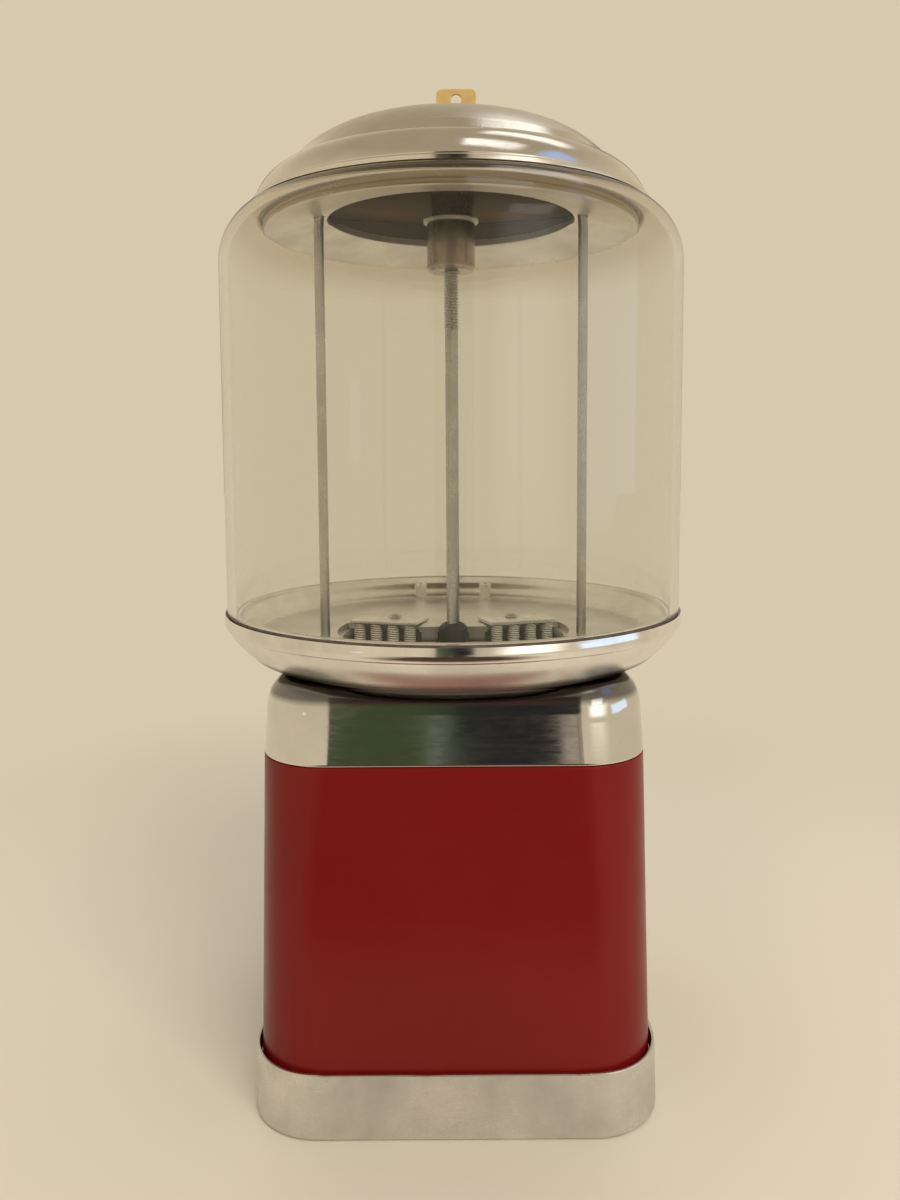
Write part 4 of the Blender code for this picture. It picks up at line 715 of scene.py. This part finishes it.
def neckRing():
    # pressed ring: flange on the glass, skirt with a beaded foot, sloping web and a lip round the mouth
    low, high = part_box("neck_ring")
    foot, top = low[2], high[2]
    under = top - 1.3 * mm
    outline = roundCorners([
        (78.9 * mm, under, 0.2 * mm), (78.9 * mm, foot + 2.2 * mm, 0.15 * mm), (78.5 * mm, foot + 1.9 * mm, 0.15 * mm),
        (78.9 * mm, foot + 1.5 * mm, 0.2 * mm), (78.9 * mm, foot + 0.5 * mm, 0.4 * mm), (78.3 * mm, foot, 0.4 * mm),
        (76.3 * mm, foot, 0.6 * mm), (75.6 * mm, foot + 0.35 * mm, 0.3 * mm), (52 * mm, foot + 5.6 * mm, 0.5 * mm),
        (52 * mm, foot + 8.8 * mm, 0.4 * mm), (53.3 * mm, foot + 8.8 * mm, 0.4 * mm),
        (53.3 * mm, foot + 6.9 * mm, 0.6 * mm), (76.3 * mm, foot + 1.4 * mm, 0.8 * mm),
        (77.6 * mm, foot + 2.6 * mm, 0.8 * mm), (77.6 * mm, top, 0.5 * mm), (81.2 * mm, top, 0.4 * mm),
        (81.2 * mm, under, 0.3 * mm)], 5)
    ring = turn("neckRing", outline, "ring_chrome", "cabinet", 192)
    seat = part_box("side_rod_top_nut_left")[0][2] - 0.3 * mm
    for place in rodPlaces:
        drill(ring, boltHole, foot - 2 * mm, top + 2 * mm, 24, place)
        drill(ring, 4.25 * mm, seat, top + 2 * mm, 32, place)
    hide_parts("neck_ring")


def sideRods():
    for name in ("left", "right"):
        low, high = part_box(f"side_rod_{name}")
        centre = ((low[0] + high[0]) / 2, (low[1] + high[1]) / 2)
        outline = roundCorners([(0, low[2], 0), (2 * mm, low[2], 0.4 * mm), (2 * mm, high[2], 0.4 * mm),
                                (0, high[2], 0)])
        rod = turn(f"sideRod_{name}", outline, "rod_steel", "cabinet", 32, centre)
        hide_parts(f"side_rod_{name}")
        for place in ("top", "foot"):
            bevelCopy(f"side_rod_{place}_nut_{name}", f"sideRodNut_{place}_{name}", "fixing_steel", "cabinet",
                      0.25 * mm)


trayDish()
gasketRing()
globeGlass()
neckRing()
sideRods()
print("tray, globe and neck ring made")


# Centre rod with its rolled thread

threadLook = dict(pitch=1.27 * mm, core=2.6 * mm, crest=3.13 * mm, shank=2.8 * mm, start=306.8 * mm)


def threadedRadius(height, angle, look):
    # a triangle wave that climbs one pitch for each turn, between core and crest
    phase = (height / look["pitch"] - angle / (2 * np.pi)) % 1
    wave = np.clip(2.4 * np.abs(2 * phase - 1) - 0.7, 0, 1)
    return look["core"] + (look["crest"] - look["core"]) * wave


def centreRod():
    look = threadLook
    low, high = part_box("centre_rod")
    sides = 36
    angle = np.linspace(0, 2 * np.pi, sides, endpoint=False)
    step = look["pitch"] / 12
    lower = np.arange(low[2] + 0.5 * mm, low[2] + 12 * mm, step)
    upper = np.arange(look["start"], high[2] - 0.5 * mm, step)
    pole, ends = np.zeros((1, sides)), np.full((1, sides), look["core"] - 0.3 * mm)
    rows = [pole, ends, threadedRadius(lower[:, None], angle, look), np.full((2, sides), look["shank"]),
            threadedRadius(upper[:, None], angle, look), ends, pole]
    heights = np.concatenate([[low[2], low[2]], lower, [lower[-1] + 0.6 * mm, upper[0] - 0.6 * mm], upper,
                              [high[2], high[2]]])
    radius = np.vstack(rows)
    upright = np.repeat(heights[:, None], sides, axis=1)
    grid = np.stack([radius * np.cos(angle), radius * np.sin(angle), upright], axis=-1)
    rod = gridPiece("centreRod", grid, "rod_steel", "base", along=False, sharpAngle=60)
    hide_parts("centre_rod")
    bevelCopy("rod_washer", "rodWasher", "fixing_steel", "base", 0.2 * mm)
    bevelCopy("rod_nut", "rodNut", "fixing_steel", "base", 0.4 * mm)


centreRod()
print("centre rod made")


# Lid, lock and key

lidLook = dict(brim=(82.3 * mm, 15.9 * mm, 19.5 * mm, -7.1 * mm), dome=(29.4 * mm, 44.6 * mm, 34.6 * mm, -4.1 * mm),
               wall=1.6 * mm, bore=8.5 * mm, lower=0.6 * mm)


def lidDome():
    # two ellipses, the brim and the dome, with a narrow valley between them; the inner skin follows inset
    look = lidLook
    low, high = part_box("lid")
    edge = low[2]
    seat = edge + 2.3 * mm

    def skin(inset, start):
        radius, width, height, drop = look["brim"]
        centre = (radius - width, seat + drop)
        first = math.degrees(math.asin((start - centre[1]) / (height - inset)))
        brim = ellipse(centre, (width - inset, height - inset), first, 80, 40)
        flat, width, height, drop = look["dome"]
        dome = ellipse((flat, seat + drop), (width - inset, height - inset), 33, 90, 48)
        return np.vstack([sharp(brim[:-1]), [(*brim[-1], 0.7 * mm)], [(*dome[0], 0.5 * mm)], sharp(dome[1:])])

    inner = skin(look["wall"], seat)[::-1]
    outline = np.vstack([
        [(81.5 * mm, edge + 0.05 * mm, 0.2 * mm), (high[0], edge - look["lower"], 0.25 * mm),
         (high[0], edge + 1.25 * mm, 0.5 * mm)],
        skin(0, edge + 1.9 * mm), [(look["bore"], high[2], 0.3 * mm), (look["bore"], high[2] - look["wall"], 0.3 * mm)],
        inner, [(81.5 * mm, seat, 0.2 * mm)]])
    lid = turn("lidDome", roundCorners(outline), "lid_chrome", "lid", 220)
    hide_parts("lid")


def lockAndKey():
    low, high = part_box("barrel_nut")
    top = high[2]
    outline = roundCorners([
        (0, top, 0), (10.15 * mm, top, 0.5 * mm), (10.15 * mm, low[2] + 1.4 * mm, 0.3 * mm),
        (9.2 * mm, low[2], 0.3 * mm), (4.4 * mm, low[2], 0.3 * mm), (3.4 * mm, low[2] + 1 * mm, 0.2 * mm),
        (3.4 * mm, top - 6.1 * mm, 0), (0, top - 6.1 * mm, 0)])
    barrel = turn("barrelNut", outline, "barrel_steel", "lock", 96)
    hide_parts("barrel_nut")
    low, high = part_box("lock_washer")
    outline = roundCorners([(0, low[2], 0), (high[0], low[2], 0.5 * mm), (high[0], high[2], 0.5 * mm),
                            (0, high[2], 0)])
    washer = turn("lockWasher", outline, "white_nylon", "lock", 96)
    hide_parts("lock_washer")
    bevelCopy("lock_cylinder", "lockCylinder", "lock_steel", "lock", 0.25 * mm)
    bevelCopy("key", "key_flat", "key_brass", "key", 0.3 * mm, segments=3)


lidDome()
lockAndKey()
print("lid, lock and key made")


# Wheel, cover and brushes

springLook = dict(curls=7, radius=2.4 * mm, wire=0.38 * mm, perCurl=20, spread=1.124, from_=17.4 * mm, to=19.1 * mm)


def spreadOut(x):
    # the brush rows stand 2 to 4.7 mm further out than in the CAD: a straight stretch along x on either side
    look = springLook
    return math.copysign(look["to"] + look["spread"] * (abs(x) - look["from_"]), x)


def brushSprings():
    # a helix about an upright axis: angle grows evenly with depth
    look = springLook
    for side in ("left", "right"):
        for number in range(1, 5):
            node = f"brush_spring_{side}_{number}"
            low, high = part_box(node)
            x, y = spreadOut((low[0] + high[0]) / 2), (low[1] + high[1]) / 2
            steps = look["curls"] * look["perCurl"]
            turnBy = np.linspace(0, 2 * np.pi * look["curls"], steps + 1)
            drop = np.linspace(high[2] - look["wire"], low[2] + look["wire"], steps + 1)
            path = np.stack([x + look["radius"] * np.cos(turnBy), y + look["radius"] * np.sin(turnBy), drop],
                            axis=1)
            spring = tube(f"brushSpring_{side}_{number}", path, look["wire"], "spring_steel", "cabinet", 10)
            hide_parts(node)


def wheelAndBrushes():
    bevelCopy("ball_wheel", "ballWheel", "wheel_plastic", "wheel", 0.3 * mm, 40)
    bevelCopy("wheel_cover", "wheelCover", "tray_chrome", "cabinet", 0.35 * mm)
    for side in ("left", "right"):
        plate = bevelCopy(f"brush_plate_{side}", f"brushPlate_{side}", "brush_chrome", "cabinet", 0.35 * mm)
        rivet = bevelCopy(f"brush_rivet_{side}", f"brushRivet_{side}", "fixing_steel", "cabinet", 0.15 * mm)
        for piece in (plate, rivet):
            for vertex in piece.data.vertices:
                vertex.co.x = spreadOut(vertex.co.x)


wheelAndBrushes()
brushSprings()
print("wheel and brushes made")


# Coin mechanism, chute and door: the CAD shapes with eased edges

easedPieces = (
    ("handle", "turnHandle", "handle_chrome", "handle", 0.8),
    ("drive_shaft", "driveShaft", "mechanism_steel", "handle", 0.3),
    ("coin_carrier", "coinCarrier", "mechanism_zinc", "handle", 0.4),
    ("ratchet_wheel", "ratchetWheel", "mechanism_steel", "handle", 0.2),
    ("drive_pinion", "drivePinion", "mechanism_steel", "handle", 0.2),
    ("mechanism_face", "mechanismFace", "face_chrome", "cabinet", 0.7),
    ("mechanism_screw_left", "mechanismScrew_left", "fixing_steel", "cabinet", 0.15),
    ("mechanism_screw_right", "mechanismScrew_right", "fixing_steel", "cabinet", 0.15),
    ("mechanism_frame", "mechanismFrame", "mechanism_steel", "cabinet", 0.25),
    ("pawl_pin", "pawlPin", "mechanism_steel", "cabinet", 0.2),
    ("pawl", "pawlLever", "mechanism_steel", "pawl", 0.2),
    ("ball_chute", "ballChute", "chute_plastic", "cabinet", 0.25),
    ("chute_hood", "chuteHood", "face_chrome", "cabinet", 0.5),
    ("door_pin", "doorPin", "fixing_steel", "cabinet", 0.2),
    ("chute_door", "chuteDoor", "face_chrome", "door", 0.4),
)
for node, name, slotName, body, width in easedPieces:
    bevelCopy(node, name, slotName, body, width * mm)
print("mechanism and chute made")


# Floor, light and camera

stageLook = dict(background=(0.68, 0.585, 0.425), floor=(0.74, 0.67, 0.55), fadeFrom=0.28, fadeTo=0.58, half=6.0,
                 frontEdge=0.6, nearDark=(0.19, 0.27), darkAcross=(-0.13, 0.13), darkSoft=0.12,
                 ceiling=(0.42, 0.35, 0.245), roomLight=(0.50, 0.47, 0.42), roomDark=(0.02, 0.02, 0.021),
                 roomGreen=(0.055, 0.075, 0.035), roomBrown=(0.09, 0.05, 0.035), opening=(-0.158, 0.135),
                 openingSoft=0.01)

# soft pale openings that only mirrors see: limits (from, to) of the direction's x, y and z, edge softness, colour
windowLook = (
    ((-0.66, -0.46), (0.5, 1.1), (0.0, 0.25), 0.16, (1.7, 1.62, 1.42)),
    ((-1.1, -0.84), (-0.1, 0.45), (-0.05, 0.18), 0.05, (0.98, 1.12, 1.35)),
    ((-0.5, -0.16), (-0.46, -0.24), (0.82, 0.97), 0.05, (1.5, 1.45, 1.35)),
    ((-0.66, -0.44), (0.5, 0.82), (0.36, 0.54), 0.04, (1.9, 1.85, 1.7)),
    ((0.69, 0.73), (0.2, 1.1), (0.0, 0.07), 0.02, (0.9, 0.98, 1.1)),
    ((-0.42, -0.1), (0.12, 0.38), (0.85, 1.1), 0.03, (1.5, 1.46, 1.38)),
    ((-0.74, -0.6), (0.0, 0.3), (0.6, 0.8), 0.04, (0.5, 0.62, 0.95)),
    ((-0.129, -0.112), (0.5, 1.1), (-0.3, 0.02), 0.004, (0.45, 0.37, 0.29)),
    ((-0.152, -0.143), (0.5, 1.1), (-0.3, 0.06), 0.004, (0.5, 0.43, 0.33)),
    ((0.0, 0.3), (-1.1, -0.4), (-0.5, 0.35), 0.035, (0.17, 0.155, 0.14)),
    ((-0.3, -0.16), (-1.1, -0.4), (-0.5, 0.5), 0.03, (0.3, 0.27, 0.22)),
    ((0.012, 0.021), (0.5, 1.1), (-0.3, 0.02), 0.005, (0.22, 0.25, 0.2)),
)


def glowing(tree, colour):
    node = tree.nodes.new("ShaderNodeEmission")
    node.inputs["Color"].default_value = (*colour, 1)
    return node.outputs["Emission"]


def mixShaders(tree, factor, one, two):
    node = tree.nodes.new("ShaderNodeMixShader")
    for value, socket in zip((factor, one, two), node.inputs):
        tree.links.new(value, socket)
    return node.outputs["Shader"]


def paleFloor():
    # a wide table that fades into the background colour, with its front edge just past the camera
    look = stageLook
    mesh = bpy.data.meshes.new("floor")
    half, front, low = look["half"], look["frontEdge"], -0.2 * mm
    mesh.from_pydata([(-half, -half, low), (half, -half, low), (half, front, low), (-half, front, low)],
                     [], [(0, 1, 2, 3)])
    floor = bpy.data.objects.new("floor", mesh)
    bpy.context.scene.collection.objects.link(floor)
    material = bpy.data.materials.new("paleFloor")
    material.use_nodes = True
    tree = material.node_tree
    shader = tree.nodes["Principled BSDF"]
    shader.inputs["Base Color"].default_value = (*look["floor"], 1)
    shader.inputs["Roughness"].default_value = 0.3
    place = tree.nodes.new("ShaderNodeTexCoord")
    length = tree.nodes.new("ShaderNodeVectorMath")
    length.operation = "LENGTH"
    tree.links.new(place.outputs["Object"], length.inputs[0])
    fade = ranged(tree, length.outputs["Value"], look["fadeFrom"], look["fadeTo"], 0, 1)
    faded = mixShaders(tree, fade, shader.outputs["BSDF"], glowing(tree, look["background"]))
    # mirrors see the table end just in front of the object, where the room beyond is dark
    path = tree.nodes.new("ShaderNodeLightPath")
    x, y = splitPlace(tree, place)[:2]
    beyond = combine(tree, combine(tree, ranged(tree, y, *look["nearDark"], 0, 1),
                                   between(tree, x, look["darkAcross"], look["darkSoft"]), "MULTIPLY"),
                     path.outputs["Is Glossy Ray"], "MULTIPLY")
    tree.links.new(mixShaders(tree, beyond, faded, glowing(tree, look["roomBrown"])),
                   tree.nodes["Material Output"].inputs["Surface"])
    mesh.materials.append(material)


def between(tree, value, limits, soft):
    # 1 between two limits, falling smoothly to 0 over the given softness
    rise = ranged(tree, value, limits[0] - soft, limits[0], 0, 1)
    fall = ranged(tree, value, limits[1], limits[1] + soft, 1, 0)
    return combine(tree, rise, fall, "MULTIPLY")


def studioWorld():
    # pale all round; what mirrors see has a dimmer ceiling and a dark opening on the camera's side
    look = stageLook
    world = bpy.data.worlds.new("studio")
    bpy.context.scene.world = world
    world.use_nodes = True
    tree = world.node_tree
    back = tree.nodes["Background"]
    back.inputs["Strength"].default_value = 1.0
    path = tree.nodes.new("ShaderNodeLightPath")
    place = tree.nodes.new("ShaderNodeTexCoord")
    x, y, z = splitPlace(tree, place, "Generated")
    opening = combine(tree, combine(tree, ranged(tree, y, 0.3, 0.45, 0, 1),
                                    between(tree, x, look["opening"], look["openingSoft"]), "MULTIPLY"),
                      ranged(tree, z, 0.7, 0.8, 1, 0), "MULTIPLY")
    beyond = mixColours(tree, ranged(tree, x, -0.01, 0.012, 0, 1), look["roomDark"], look["roomGreen"])
    beyond = mixColours(tree, ranged(tree, z, 0.35, 0.5, 0, 1), beyond, look["roomBrown"])
    walls = mixColours(tree, ranged(tree, z, 0.5, 0.86, 0, 1), look["background"], look["ceiling"])
    mirrored = mixColours(tree, opening, walls, beyond)
    for across, deep, up, soft, colour in windowLook:
        mask = combine(tree, combine(tree, between(tree, x, across, soft), between(tree, y, deep, soft), "MULTIPLY"),
                       between(tree, z, up, soft), "MULTIPLY")
        mirrored = mixColours(tree, mask, mirrored, colour)
    lit = mixColours(tree, path.outputs["Is Glossy Ray"], look["roomLight"], mirrored)
    either = combine(tree, path.outputs["Is Camera Ray"], path.outputs["Is Transmission Ray"], "MAXIMUM")
    tree.links.new(mixColours(tree, either, lit, look["background"]), back.inputs["Color"])


lampLook = (
    ("keySoftbox", (-0.5, 1.1, 1.0), (0.9, 0.9), 14.0, (1.0, 0.96, 0.9)),
    ("topSoftbox", (0.0, -0.2, 1.4), (1.2, 1.2), 6.0, (1.0, 0.97, 0.92)),
)


def studioLamps():
    # neither mirrors nor the glass show the lamps: what they see is the world's openings
    for name, place, size, power, colour in lampLook:
        data = bpy.data.lights.new(name, "AREA")
        data.shape = "RECTANGLE"
        data.size, data.size_y = size
        data.energy = power
        data.color = colour
        lamp = bpy.data.objects.new(name, data)
        lamp.location = place
        lamp.rotation_euler = (Vector((0, 0, 0.2)) - Vector(place)).to_track_quat("-Z", "Y").to_euler()
        lamp.visible_glossy = False
        lamp.visible_transmission = False
        bpy.context.scene.collection.objects.link(lamp)


cameraLook = dict(distance=417 * mm, height=253.7 * mm, pitch=4.84, roll=0.34, focal=965.0, centreRow=536.7,
                  axisColumn=452.7, pixelsWide=900, pixelsHigh=1200)


def photoCamera():
    # a pinhole fitted to the photograph: its focal length and centre in pixels of the 900 x 1200 frame
    look = cameraLook
    data = bpy.data.cameras.new("photoCamera")
    data.sensor_fit = "AUTO"
    data.sensor_width = 36.0
    data.lens = look["focal"] / look["pixelsHigh"] * 36.0
    data.shift_y = (look["centreRow"] - look["pixelsHigh"] / 2) / look["pixelsHigh"]
    data.shift_x = (look["pixelsWide"] / 2 - look["axisColumn"]) / look["pixelsHigh"]
    data.clip_start = 0.01
    camera = bpy.data.objects.new("photoCamera", data)
    bpy.context.scene.collection.objects.link(camera)
    turned = (Matrix.Rotation(math.pi, 4, "Z") @ Matrix.Rotation(math.radians(90 - look["pitch"]), 4, "X")
              @ Matrix.Rotation(math.radians(-look["roll"]), 4, "Z"))
    camera.matrix_world = Matrix.Translation((0, look["distance"], look["height"])) @ turned
    bpy.context.scene.camera = camera


paleFloor()
studioWorld()
studioLamps()
photoCamera()
bpy.context.scene.view_settings.view_transform = "Standard"
print("stage made")
